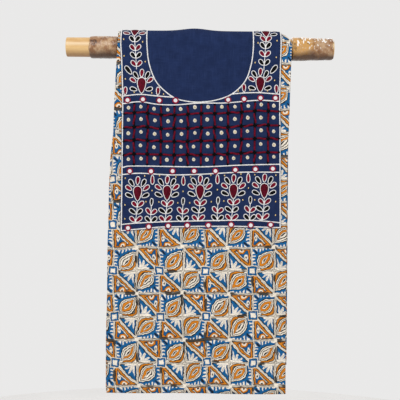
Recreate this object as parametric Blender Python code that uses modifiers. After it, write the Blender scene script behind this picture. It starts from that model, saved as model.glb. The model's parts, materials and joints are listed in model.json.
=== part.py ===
"""Kalamkari cloth with an embroidered navy yoke, folded and hung over a bamboo pole.

Units are metres, +Z up.  The pole runs along +X from its left sawn end, whose
centre is the origin.  The cloth's printed face and its yoke look towards -Y.
The cloth is one length, folded in three across its width as a Z, and hung over
the pole at about its middle.  Sizes in the tables are millimetres; positions
across the cloth are measured from the yoke's centre line, +X to the right.
"""

import math
from dataclasses import dataclass

import bmesh
import bpy
import numpy as np
from mathutils import Matrix, Vector

MM = 0.001

# Bamboo pole: radius along its length, from the left end.  It is bare at the left
# end and under the cloth, and bound with film, so thicker, in two stretches.
POLE_LENGTH = 554.0
POLE_RADIUS = 20.0
POLE_SIDES = 36
POLE_STATIONS = (
    # (along, radius)
    (0.0, 19.6),
    (1.2, 20.3),
    (48.0, 20.3),
    (50.5, 22.0),
    (62.0, 22.4),
    (100.0, 22.4),
    (105.5, 22.0),
    (107.5, POLE_RADIUS),
    (466.0, POLE_RADIUS),
    (468.5, 23.6),
    (490.0, 23.6),
    (508.0, 22.6),
    (552.8, 21.6),
    (POLE_LENGTH, 21.0),
)

# Printed cloth.  Pitch is the distance from one layer's middle to the next, and each
# layer further in hangs shorter than the one over it by the share LAYER_STAGGER.  Over
# the pole the right fold is drawn in by up to RIGHT_TUCK.
CENTRE_X = POLE_LENGTH / 2.0
CLOTH_THICKNESS = 1.6
FRONT_DROP = 712.0
BACK_DROP = 664.0
SIDE_CLEARANCE = 2.2
SEAT_GAP = 0.6
LAYERS = 3
PITCH_TOP = 3.2
PITCH_HEM = 2.5
INNER_EDGE_SHORT = 9.0
LAYER_STAGGER = 0.004
RIGHT_TUCK = 13.0

# The stack's uneven edges; reach is the drop below the pole, less than 0 behind it.
CLOTH_EDGES = (
    # (reach, free_left, fold_left, fold_right)
    (-BACK_DROP, -172.0, -169.0, 189.0),
    (-300.0, -170.5, -167.5, 188.5),
    (0.0, -169.0, -166.0, 187.5),
    (94.0, -173.5, -170.0, 185.0),
    (159.0, -175.5, -173.5, 183.5),
    (204.0, -176.5, -178.5, 181.8),
    (234.0, -177.5, -181.5, 180.8),
    (267.0, -180.0, -182.5, 180.0),
    (294.0, -183.0, -183.8, 179.8),
    (414.0, -185.5, -184.2, 180.5),
    (609.0, -185.5, -187.0, 180.5),
    (FRONT_DROP, -184.5, -186.0, 181.8),
)

# Puff of the stiff layers over the pole, which dies out beside the right fold, and the
# hang's soft waves and press crease.
PUFF_BASE = 5.2
PUFF_CREST = 5.1
PUFF_CREST_X = -11.0
PUFF_CREST_WIDTH = 34.0
PUFF_RIGHT_END = 176.0
PUFF_FADE = 14.0
WAVE_LENGTH = 230.0
WAVE_TOP = 0.3
WAVE_HEM = 2.6
CREASE_DROP = 505.5
CREASE_DEPTH = 2.4
CREASE_WIDTH = 13.0

# Navy yoke, sewn to the cloth's front and carried over the pole.
YOKE_THICKNESS = 1.2
YOKE_GAP = 0.5
YOKE_DROP = 381.5
YOKE_BACK_DROP = 70.0
YOKE_EDGES = (
    # (reach, left, right)
    (-70.0, -160.5, 163.0),
    (0.0, -159.5, 164.0),
    (YOKE_DROP, -157.5, 166.5),
)
YOKE_HEM = (
    # (across, drop)
    (-158.0, 382.4),
    (-80.0, 374.1),
    (0.0, 371.8),
    (80.0, 371.0),
    (166.0, 373.0),
)

# Mirrors, sewn a little unevenly in three bands.
MIRROR_RADIUS = 4.0
MIRROR_THICKNESS = 1.0
MIRROR_GAP = 0.4
MIRROR_SIDES = 16
NECK_MIRRORS = (
    # (across, drop)
    (-147.0, 113.6),
    (-115.5, 111.6),
    (-82.0, 113.6),
    (-49.0, 113.2),
    (58.5, 110.8),
    (91.0, 109.0),
    (124.5, 106.6),
    (155.0, 106.4),
)
CHEST_MIRRORS = (
    (-141.0, 258.4),
    (-97.5, 258.4),
    (-53.5, 257.5),
    (-9.5, 257.0),
    (34.0, 256.6),
    (74.5, 253.8),
    (115.5, 252.1),
    (151.0, 250.7),
)
HEM_MIRRORS = (
    (-143.5, 374.6),
    (-101.0, 371.5),
    (-61.5, 369.4),
    (-22.5, 368.1),
    (20.5, 367.6),
    (67.0, 365.7),
    (107.0, 366.6),
    (147.5, 365.2),
)

# Mesh steps.
INNER_STEPS = 10
FOLD_STEPS = 4
ARCH_STEPS = 14
FRONT_STEPS = 12
BACK_STEPS = 9
YOKE_STEPS = 9
YOKE_BACK_STEPS = 2

COLLECTION_NAME = "kalamkari_cloth_on_pole"


def column(table, index):
    """One column of a table, as floats."""
    return [float(row[index]) for row in table]


def edge_at(table, place, index):
    """A table's column read at a place along its first column."""
    return float(np.interp(place, column(table, 0), column(table, index)))


def pitch_at(drop):
    """The layers' pitch, closer towards the hem."""
    return PITCH_TOP + (PITCH_HEM - PITCH_TOP) * min(drop / FRONT_DROP, 1.0)


def puff_at(across):
    """How far the stack's outer face arches up off the pole."""
    share = min(max((PUFF_RIGHT_END - across) / PUFF_FADE, 0.0), 1.0)
    crest = PUFF_CREST * math.exp(-(((across - PUFF_CREST_X) / PUFF_CREST_WIDTH) ** 2))
    return (PUFF_BASE + crest) * share * share * (3.0 - 2.0 * share)


def wave_at(across, drop, behind):
    """Shift along +Y: soft folds, deeper towards the hem, and the front's press crease."""
    share = min(drop / FRONT_DROP, 1.0)
    depth = WAVE_TOP * min(share * 8.0, 1.0) + (WAVE_HEM - WAVE_TOP) * share ** 2
    folds = depth * math.sin(2.0 * math.pi * across / WAVE_LENGTH + 2.0 * share)
    if behind:
        return folds
    return folds + CREASE_DEPTH * math.exp(-(((drop - CREASE_DROP) / CREASE_WIDTH) ** 2))


@dataclass(frozen=True)
class Station:
    """One step along the hang: down the front, over the pole, or down behind it."""

    drop: float
    angle: float = 0.0
    behind: bool = False

    @property
    def reach(self):
        return -self.drop if self.behind else self.drop

    def point(self, across, depth, shift=0.0):
        """The point at a depth, in layers out from the pole, shifted further outward."""
        out = depth * pitch_at(self.drop) + CLOTH_THICKNESS / 2.0 + shift
        half_width = POLE_RADIUS + SIDE_CLEARANCE + out
        if self.angle:
            lift = puff_at(across) * depth / (LAYERS - 1.0)
            height = POLE_RADIUS + SEAT_GAP + out + lift
            y = -half_width * math.cos(self.angle)
            z = height * math.sin(self.angle)
        else:
            side = 1.0 if self.behind else -1.0
            y = side * half_width + wave_at(across, self.drop, self.behind)
            z = -self.drop * (1.0 - LAYER_STAGGER * (LAYERS - 1.0 - depth))
        return Vector(((CENTRE_X + across) * MM, y * MM, z * MM))


def hang_stations(front_drops, back_drops):
    """Stations from the front's lowest row to the back's lowest row."""
    front = [Station(drop) for drop in front_drops]
    arch = [Station(0.0, math.pi * step / ARCH_STEPS) for step in range(1, ARCH_STEPS)]
    back = [Station(drop, behind=True) for drop in back_drops]
    return front + arch + back


def new_material(name, color, roughness, metallic=0.0):
    """A Principled material in one plain colour."""
    material = bpy.data.materials.new(name)
    material.use_nodes = True
    shader = material.node_tree.nodes["Principled BSDF"]
    shader.inputs["Base Color"].default_value = (*color, 1.0)
    shader.inputs["Roughness"].default_value = roughness
    shader.inputs["Metallic"].default_value = metallic
    material.diffuse_color = (*color, 1.0)
    return material


def draped_sheet(name, points, thickness, material, collection):
    """A sheet through rows of points, given its thickness by Solidify."""
    rows = len(points) - 1
    columns = len(points[0]) - 1
    grid = bmesh.new()
    bmesh.ops.create_grid(grid, x_segments=columns, y_segments=rows, size=0.5)
    for vert in grid.verts:
        col = round((vert.co.x + 0.5) * columns)
        row = round((vert.co.y + 0.5) * rows)
        vert.co = points[row][col]
    mesh = bpy.data.meshes.new(name)
    grid.to_mesh(mesh)
    grid.free()
    mesh.materials.append(material)
    mesh.shade_smooth()
    sheet = bpy.data.objects.new(name, mesh)
    collection.objects.link(sheet)
    skin = sheet.modifiers.new("thickness", "SOLIDIFY")
    skin.thickness = thickness * MM
    skin.offset = 0.0
    skin.use_even_offset = True
    return sheet


def inner_columns(reach):
    """Positions across, from the yoke's left edge line to its right edge line."""
    left = edge_at(YOKE_EDGES, reach, 1)
    right = edge_at(YOKE_EDGES, reach, 2)
    return [left + (right - left) * step / INNER_STEPS for step in range(INNER_STEPS + 1)]


def fold_arc(upper_depth):
    """Half-round fold between two layers, outer layer first: (bulge, depth) pairs."""
    turns = [math.pi * step / FOLD_STEPS for step in range(1, FOLD_STEPS)]
    return [(math.sin(turn), upper_depth - (1.0 - math.cos(turn)) / 2.0) for turn in turns]


def folded_section(station):
    """One row of the Z-folded cloth: outer layer, middle layer, then the inner one."""
    free_left = edge_at(CLOTH_EDGES, station.reach, 1)
    fold_left = edge_at(CLOTH_EDGES, station.reach, 2)
    tuck = RIGHT_TUCK * math.sin(station.angle) ** 2
    fold_right = edge_at(CLOTH_EDGES, station.reach, 3) - tuck
    radius = pitch_at(station.drop) / 2.0
    right = fold_right - radius
    left = fold_left + radius
    inner = inner_columns(station.reach)
    outer_layer = [(across, 2.0) for across in [free_left, *inner, right]]
    right_fold = [(right + bulge * radius, depth) for bulge, depth in fold_arc(2.0)]
    middle_layer = [(across, 1.0) for across in [right, *reversed(inner), left]]
    left_fold = [(left - bulge * radius, depth) for bulge, depth in fold_arc(1.0)]
    inner_layer = [(across, 0.0) for across in [left, *inner, fold_right - INNER_EDGE_SHORT]]
    section = outer_layer + right_fold + middle_layer + left_fold + inner_layer
    return [station.point(across, depth) for across, depth in section]


def build_printed_cloth(collection):
    """The printed cloth: one Z-folded sheet, hung over the pole."""
    crease_rows = [CREASE_DROP - CREASE_WIDTH, CREASE_DROP, CREASE_DROP + CREASE_WIDTH]
    even_rows = [FRONT_DROP * step / FRONT_STEPS for step in range(FRONT_STEPS + 1)]
    clear_rows = [drop for drop in even_rows if abs(drop - CREASE_DROP) > 2.0 * CREASE_WIDTH]
    front = sorted(clear_rows + crease_rows, reverse=True)
    back = [BACK_DROP * step / BACK_STEPS for step in range(BACK_STEPS + 1)]
    rows = [folded_section(station) for station in hang_stations(front, back)]
    material = new_material("kalamkari_cotton", (0.45, 0.46, 0.46), 0.85)
    return draped_sheet("printed_cloth", rows, CLOTH_THICKNESS, material, collection)


def yoke_point(across, station):
    """A point on the yoke's middle surface, just outside the cloth's outer layer."""
    shift = CLOTH_THICKNESS / 2.0 + YOKE_GAP + YOKE_THICKNESS / 2.0
    return station.point(across, LAYERS - 1.0, shift)


def build_yoke(collection):
    """The yoke: one sheet over the cloth's front, over the pole and a little behind."""
    back = [YOKE_BACK_DROP * step / YOKE_BACK_STEPS for step in range(YOKE_BACK_STEPS + 1)]
    rows = []
    for step in range(YOKE_STEPS, -1, -1):
        share = step / YOKE_STEPS
        row = []
        for across in inner_columns(share * YOKE_DROP):
            hem = edge_at(YOKE_HEM, across, 1)
            row.append(yoke_point(across, Station(share * hem)))
        rows.append(row)
    for station in hang_stations([], back):
        rows.append([yoke_point(across, station) for across in inner_columns(station.reach)])
    material = new_material("navy_cotton", (0.018, 0.030, 0.092), 0.9)
    return draped_sheet("yoke_panel", rows, YOKE_THICKNESS, material, collection)


def build_pole(collection):
    """The bamboo pole: a turned profile, thicker where film binds it, with sawn ends."""
    mesh = bpy.data.meshes.new("bamboo_pole")
    profile = bmesh.new()
    path = [(0.0, 0.0), *POLE_STATIONS, (POLE_LENGTH, 0.0)]
    verts = [profile.verts.new((along * MM, 0.0, radius * MM)) for along, radius in path]
    for start, end in zip(verts, verts[1:]):
        profile.edges.new((start, end))
    profile.to_mesh(mesh)
    profile.free()
    mesh.materials.append(new_material("bamboo", (0.52, 0.32, 0.14), 0.5))
    pole = bpy.data.objects.new("bamboo_pole", mesh)
    collection.objects.link(pole)
    turn = pole.modifiers.new("turned", "SCREW")
    turn.axis = "X"
    turn.steps = POLE_SIDES
    turn.render_steps = POLE_SIDES
    turn.use_merge_vertices = True
    turn.merge_threshold = 0.00005
    turn.use_smooth_shade = True
    turn.use_normal_calculate = True
    return pole


def build_mirrors(collection):
    """The mirror discs, each its own piece, lying on the yoke in three bands."""
    mesh = bpy.data.meshes.new("mirror_disc")
    disc = bmesh.new()
    bmesh.ops.create_cone(
        disc,
        cap_ends=True,
        segments=MIRROR_SIDES,
        radius1=MIRROR_RADIUS * MM,
        radius2=MIRROR_RADIUS * MM,
        depth=MIRROR_THICKNESS * MM,
    )
    disc.to_mesh(mesh)
    disc.free()
    mesh.materials.append(new_material("mirror_glass", (0.8, 0.82, 0.85), 0.08, 1.0))
    yoke_face = CLOTH_THICKNESS / 2.0 + YOKE_GAP + YOKE_THICKNESS
    shift = yoke_face + MIRROR_GAP + MIRROR_THICKNESS / 2.0
    bands = (("neck", NECK_MIRRORS), ("chest", CHEST_MIRRORS), ("hem", HEM_MIRRORS))
    for name, places in bands:
        for number, (across, drop) in enumerate(places, start=1):
            centre = Station(drop).point(across, LAYERS - 1.0, shift)
            right = Station(drop).point(across + MIRROR_RADIUS, LAYERS - 1.0, shift) - centre
            down = Station(drop + MIRROR_RADIUS).point(across, LAYERS - 1.0, shift) - centre
            normal = right.cross(-down).normalized()
            mirror = bpy.data.objects.new(f"mirror_{name}_{number}", mesh)
            turn = normal.to_track_quat("Z", "Y").to_matrix().to_4x4()
            mirror.matrix_world = Matrix.Translation(centre) @ turn
            collection.objects.link(mirror)


def main():
    for item in list(bpy.data.objects):
        bpy.data.objects.remove(item, do_unlink=True)
    collection = bpy.data.collections.new(COLLECTION_NAME)
    bpy.context.scene.collection.children.link(collection)
    build_pole(collection)
    build_printed_cloth(collection)
    build_yoke(collection)
    build_mirrors(collection)


main()
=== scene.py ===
"""Looks of a kalamkari cloth with an embroidered navy yoke, hung over a bamboo pole.

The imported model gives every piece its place.  This script lays a thin printed sheet on
the folded cloth's solid and a navy one on the yoke's, works the embroidery, knots, beads
and mirror rings on the yoke in raised thread, binds film round the pole, and gives each
piece a procedural finish.

Sizes are millimetres unless a name says otherwise.  A place on the cloth is given by
`across`, measured from the yoke's centre line, positive to the right, and by `path`, the
distance along the cloth from the pole's height: positive down the front, negative over
the pole and down behind it.
"""

from __future__ import annotations

import json
import logging
import math
from collections.abc import Sequence
from dataclasses import dataclass, field
from enum import Enum
from functools import reduce

import bpy
import numpy as np
from mathutils import Euler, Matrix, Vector

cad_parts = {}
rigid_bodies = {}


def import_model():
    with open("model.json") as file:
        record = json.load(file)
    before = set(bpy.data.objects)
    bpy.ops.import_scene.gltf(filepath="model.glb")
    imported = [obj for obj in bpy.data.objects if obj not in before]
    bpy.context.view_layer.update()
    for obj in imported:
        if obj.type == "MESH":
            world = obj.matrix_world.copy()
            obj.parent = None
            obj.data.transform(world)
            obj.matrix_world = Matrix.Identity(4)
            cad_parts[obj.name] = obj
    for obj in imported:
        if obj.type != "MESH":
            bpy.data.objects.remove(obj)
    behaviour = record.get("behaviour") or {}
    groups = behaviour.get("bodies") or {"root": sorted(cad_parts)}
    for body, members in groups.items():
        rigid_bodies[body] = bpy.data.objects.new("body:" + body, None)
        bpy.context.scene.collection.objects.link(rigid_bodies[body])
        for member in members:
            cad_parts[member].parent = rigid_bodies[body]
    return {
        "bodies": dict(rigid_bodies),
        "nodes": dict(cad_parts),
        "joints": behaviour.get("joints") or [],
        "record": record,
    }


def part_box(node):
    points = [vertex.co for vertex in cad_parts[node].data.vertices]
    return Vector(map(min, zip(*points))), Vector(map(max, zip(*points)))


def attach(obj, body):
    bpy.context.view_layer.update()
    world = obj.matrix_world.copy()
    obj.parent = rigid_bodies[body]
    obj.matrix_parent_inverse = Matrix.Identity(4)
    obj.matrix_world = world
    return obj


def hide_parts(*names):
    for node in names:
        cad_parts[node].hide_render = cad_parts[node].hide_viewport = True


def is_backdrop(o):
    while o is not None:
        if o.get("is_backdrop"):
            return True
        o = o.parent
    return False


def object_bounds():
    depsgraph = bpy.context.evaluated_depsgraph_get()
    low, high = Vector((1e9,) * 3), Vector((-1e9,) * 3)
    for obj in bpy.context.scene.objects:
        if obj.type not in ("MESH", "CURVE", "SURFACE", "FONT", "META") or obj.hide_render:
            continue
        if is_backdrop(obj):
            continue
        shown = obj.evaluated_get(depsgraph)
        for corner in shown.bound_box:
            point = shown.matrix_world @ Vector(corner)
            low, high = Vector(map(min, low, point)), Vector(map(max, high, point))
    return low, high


LOG = logging.getLogger("kalamkari")
MM = 0.001
BODY = "root"
Array = np.ndarray
Pair = tuple[float, float]
Triple = tuple[float, float, float]
Colour = Triple
Socket = bpy.types.NodeSocket
Material = bpy.types.Material
Piece = bpy.types.Object
CLOTH_MAP = "cloth"
DIAGONAL = 0.7071  # the cosine of 45 degrees
INK_EDGE = 0.013  # half the width of an inked edge, as a share of the cell
FULL_TURN = 2.0 * math.pi


# ---- shader nodes ----


class Field:
    """A number that varies over a surface: a node socket with arithmetic."""

    def __init__(self, bench: Bench, socket: Socket) -> None:
        """Keeps the socket and the bench that makes further nodes."""
        self.bench = bench
        self.socket = socket

    def __add__(self, other: Number) -> Field:
        """Sum."""
        return self.bench.math("ADD", self, other)

    __radd__ = __add__

    def __sub__(self, other: Number) -> Field:
        """Difference."""
        return self.bench.math("SUBTRACT", self, other)

    def __rsub__(self, other: Number) -> Field:
        """Difference from a plain number."""
        return self.bench.math("SUBTRACT", other, self)

    def __mul__(self, other: Number) -> Field:
        """Product."""
        return self.bench.math("MULTIPLY", self, other)

    def __abs__(self) -> Field:
        """Size without sign."""
        return self.bench.math("ABSOLUTE", self)

    def low(self, other: Number) -> Field:
        """The smaller of two."""
        return self.bench.math("MINIMUM", self, other)

    def high(self, other: Number) -> Field:
        """The larger of two."""
        return self.bench.math("MAXIMUM", self, other)


Number = Field | float


def least(*sides: Field) -> Field:
    """The least of several distances from sides."""
    return reduce(Field.low, sides)


class Bench:
    """Makes the nodes of one material, in the order in which they are worked out."""

    def __init__(self, name: str) -> None:
        """Starts a material with a Principled shader.

        Args:
            name: the material's name.
        """
        self.material = bpy.data.materials.new(name)
        self.material.use_nodes = True
        self.nodes = self.material.node_tree.nodes
        self.links = self.material.node_tree.links
        self.shader = self.nodes["Principled BSDF"]

    def feed(self, socket: Socket, value: object) -> None:
        """Sets a socket to a plain value, or links a field or socket to it.

        Args:
            socket: the input.
            value: a plain value, a field or a socket.
        """
        if isinstance(value, Field):
            value = value.socket
        if isinstance(value, Socket):
            self.links.new(value, socket)
        else:
            socket.default_value = value

    def math(self, operation: str, *values: Number) -> Field:
        """One Math node.

        Args:
            operation: the node's operation.
            values: its inputs, in order.

        Returns:
            The node's result.
        """
        node = self.nodes.new("ShaderNodeMath")
        node.operation = operation
        for socket, value in zip(node.inputs, values):
            self.feed(socket, value)
        return Field(self, node.outputs[0])

    def step(self, value: Field, at: float, soft: float) -> Field:
        """0 below a level and 1 above it, with a soft edge.

        Args:
            value: the field that is compared.
            at: the level.
            soft: half the edge's width.

        Returns:
            The mask.
        """
        return self.ramp(value, at - soft, at + soft, 0.0, 1.0)

    def ramp(self, value: Field, start: float, end: float, low: float, high: float) -> Field:
        """A clamped straight ramp.

        Args:
            value: the field that is read.
            start: the field's value where the ramp starts.
            end: the field's value where it ends.
            low: the result at the start.
            high: the result at the end.

        Returns:
            The result.
        """
        node = self.nodes.new("ShaderNodeMapRange")
        for socket, number in zip(node.inputs, (value, start, end, low, high)):
            self.feed(socket, number)
        return Field(self, node.outputs["Result"])

    def paint(self, ground: object, ink: object, mask: Number) -> Socket:
        """Lays an ink over a ground where a mask says.

        Args:
            ground: the colour underneath, a socket or three numbers.
            ink: the colour on top, a socket or three numbers.
            mask: how much of the ink shows.

        Returns:
            The mixed colour's socket.
        """
        node = self.nodes.new("ShaderNodeMix")
        node.data_type = "RGBA"
        self.feed(node.inputs[0], mask)
        for socket, colour in ((node.inputs[6], ground), (node.inputs[7], ink)):
            self.feed(socket, (*colour, 1.0) if isinstance(colour, tuple) else colour)
        return node.outputs[2]

    def tint(self, colour: object, amount: Field) -> Socket:
        """Multiplies a colour by a grey field.

        Args:
            colour: a socket or three numbers.
            amount: the field.

        Returns:
            The colour's socket.
        """
        node = self.nodes.new("ShaderNodeVectorMath")
        node.operation = "SCALE"
        self.feed(node.inputs[0], colour)
        self.feed(node.inputs["Scale"], amount)
        return node.outputs[0]

    def places(self, map_name: str = "") -> Socket:
        """Coordinates in metres: from a named flat map, or the piece's own space.

        Args:
            map_name: the map's name, or nothing for the piece's own space.

        Returns:
            The coordinates' socket.
        """
        if map_name:
            node = self.nodes.new("ShaderNodeUVMap")
            node.uv_map = map_name
            return node.outputs["UV"]
        return self.nodes.new("ShaderNodeTexCoord").outputs["Object"]

    def stretched(self, vector: Socket, scale: Sequence[float], turn: float = 0.0) -> Socket:
        """Coordinates scaled along each axis and turned about Z.

        Args:
            vector: the coordinates.
            scale: one number for each axis.
            turn: the angle, in radians.

        Returns:
            The new coordinates' socket.
        """
        node = self.nodes.new("ShaderNodeMapping")
        self.feed(node.inputs["Vector"], vector)
        node.inputs["Scale"].default_value = scale
        node.inputs["Rotation"].default_value = (0.0, 0.0, turn)
        return node.outputs["Vector"]

    def noise(
        self, vector: Socket, scale: float, detail: float = 2.0, rough: float = 0.5
    ) -> Field:
        """Smooth noise from 0 to 1 about 0.5.

        Args:
            vector: where it is read, in metres.
            scale: features for each metre.
            detail: octaves.
            rough: weight of the finer octaves.

        Returns:
            The noise.
        """
        node = self.nodes.new("ShaderNodeTexNoise")
        self.feed(node.inputs["Vector"], vector)
        node.inputs["Scale"].default_value = scale
        node.inputs["Detail"].default_value = detail
        node.inputs["Roughness"].default_value = rough
        return Field(self, node.outputs["Fac"])

    def axes(self, vector: Socket) -> tuple[Field, Field, Field]:
        """A vector's three parts.

        Args:
            vector: its socket.

        Returns:
            A field for each axis.
        """
        node = self.nodes.new("ShaderNodeSeparateXYZ")
        self.feed(node.inputs[0], vector)
        return tuple(Field(self, output) for output in node.outputs)

    def weave(self, across: Field, path: Field, pitches: Pair) -> Field:
        """The relief of a plain weave.

        Args:
            across: place across the cloth, in metres.
            path: place along the cloth, in metres.
            pitches: the threads' pitches across and along, in millimetres.

        Returns:
            Its height, about 0.
        """
        warp = self.math("SINE", across * (FULL_TURN / (pitches[0] * MM)))
        weft = self.math("SINE", path * (FULL_TURN / (pitches[1] * MM)))
        return warp * weft * 0.5

    def bump(self, height: Field, strength: float, distance: float) -> None:
        """Joins a height field to the shader's normal.

        Args:
            height: the relief, 0 to 1.
            strength: how strongly it shows.
            distance: how deep it is, in metres.
        """
        node = self.nodes.new("ShaderNodeBump")
        node.inputs["Strength"].default_value = strength
        node.inputs["Distance"].default_value = distance
        self.feed(node.inputs["Height"], height)
        self.links.new(node.outputs["Normal"], self.shader.inputs["Normal"])

    def set(self, **values: object) -> None:
        """Sets or links the shader's inputs; an underscore in a name stands for a space."""
        for name, value in values.items():
            self.feed(self.shader.inputs[name.replace("_", " ")], value)


# ---- finishes ----


class Ink(Enum):
    """The print's cream ground and its inks."""

    CREAM = (0.88, 0.80, 0.675)
    BLUE = (0.006, 0.108, 0.290)
    NIGHT = (0.004, 0.018, 0.058)
    MUSTARD = (0.64, 0.210, 0.012)
    BLACK = (0.010, 0.009, 0.010)


Inks = tuple[tuple[float, Ink], ...]


def inked(bench: Bench, ground: object, level: Field, inks: Inks, mask: Number = 1.0) -> Socket:
    """Lays inks one over another, each from its own level of a field upward.

    Args:
        bench: the material's bench.
        ground: the colour underneath.
        level: the field.
        inks: each ink's level, from the lowest up, and the ink.
        mask: where the inks may lie.

    Returns:
        The colour's socket.
    """
    for at, ink in inks:
        cover = bench.step(level, at, INK_EDGE)
        ground = bench.paint(ground, ink.value, cover * mask if isinstance(mask, Field) else cover)
    return ground


@dataclass(frozen=True)
class SailCell:
    """The quarter cell with two triangles, the sails, beside a double diagonal.

    Sizes are shares of the cell.  A sail is given by its distance from the diagonal and
    by the places of its other two sides.
    """

    upper: Triple = (0.006, 0.045, 0.975)
    upper_inks: Inks = (
        (0.0, Ink.BLACK), (0.036, Ink.MUSTARD), (0.096, Ink.BLACK), (0.130, Ink.CREAM)
    )
    heart: Triple = (0.170, 0.110, 0.885)
    heart_inks: Inks = ((0.0, Ink.NIGHT), (0.024, Ink.BLUE))
    spot: Pair = (0.80, 0.42)
    spot_flatness: Pair = (1.6, 0.5)
    spot_reach: float = 0.085
    spot_inks: Inks = ((0.0, Ink.CREAM), (0.05, Ink.BLACK))
    disc: Pair = (0.61, 0.11)
    disc_reach: float = 0.195
    disc_inset: float = 0.05
    disc_inks: Inks = (
        (0.0, Ink.BLACK), (0.030, Ink.MUSTARD), (0.092, Ink.CREAM), (0.145, Ink.BLACK)
    )
    rib_off: float = 0.034
    rib_half: float = 0.007
    rib_depth: float = 0.75
    lower: Triple = (0.072, 0.065, 0.95)
    lower_inks: Inks = ((0.0, Ink.BLACK), (0.040, Ink.BLUE))
    flame: Pair = (0.20, 0.99)
    flame_core: float = 0.22
    flame_tongue: float = 0.66
    flame_pace: float = 1.85
    flame_turn: float = 0.24
    flame_lean: float = 0.08
    flame_inset: float = 0.075
    flame_edge: float = 0.02
    vein_in: float = 0.13
    vein_half: float = 0.016
    vein_inset: float = 0.10
    foot: Pair = (0.56, 0.885)

    def colour(self, bench: Bench, x: Field, y: Field) -> Socket:
        """The cell's colour.

        Args:
            bench: the material's bench.
            x: place across the cell, 0 to 1 from the star.
            y: place down the cell, 0 to 1 from the star.

        Returns:
            The colour's socket.
        """
        off = (x - y) * DIAGONAL
        near, top, far = self.upper
        upper = least(off - near, y - top, far - x)
        colour = inked(bench, Ink.CREAM.value, upper, self.upper_inks)
        near, top, far = self.heart
        heart = least(off - near, y - top, far - x)
        colour = inked(bench, colour, heart, self.heart_inks)
        spot_x, spot_y = x - self.spot[0], y - self.spot[1]
        wide, high = self.spot_flatness
        spot = bench.math("SQRT", spot_x * spot_x * wide + spot_y * spot_y * high)
        colour = inked(bench, colour, self.spot_reach - spot, self.spot_inks)
        disc_x, disc_y = x - self.disc[0], y - self.disc[1]
        disc = bench.math("SQRT", disc_x * disc_x + disc_y * disc_y)
        within = bench.step(upper, self.disc_inset, INK_EDGE)
        colour = inked(bench, colour, self.disc_reach - disc, self.disc_inks, within)
        rib = bench.step(self.rib_half - abs(off + self.rib_off), 0.0, self.rib_half)
        colour = bench.paint(colour, Ink.BLACK.value, rib * self.rib_depth)
        near, left, bottom = self.lower
        lower = least((off + near) * -1.0, x - left, bottom - y)
        colour = inked(bench, colour, lower, self.lower_inks)
        flame_x, flame_y = x - self.flame[0], self.flame[1] - y
        turn = bench.math("ARCTAN2", flame_x, flame_y)
        reach = bench.math("SQRT", flame_x * flame_x + flame_y * flame_y)
        comb = bench.math("WRAP", turn * self.flame_pace + self.flame_turn, 1.0, 0.0)
        tips = self.flame_core + abs(comb - 0.5) * self.flame_tongue - turn * self.flame_lean
        flame = bench.step(tips - reach, 0.0, self.flame_edge)
        flame = flame * bench.step(lower, self.flame_inset, INK_EDGE)
        colour = bench.paint(colour, Ink.CREAM.value, flame)
        vein = bench.step(self.vein_half - abs(tips - reach - self.vein_in), 0.0, 0.01)
        vein = vein * bench.step(lower, self.vein_inset, INK_EDGE)
        colour = bench.paint(colour, Ink.NIGHT.value, vein * bench.step(flame_y, 0.13, 0.03))
        right, top = self.foot
        foot = bench.step(y, top, INK_EDGE) * bench.step(right - x, 0.0, INK_EDGE)
        return bench.paint(colour, Ink.CREAM.value, foot)


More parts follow.
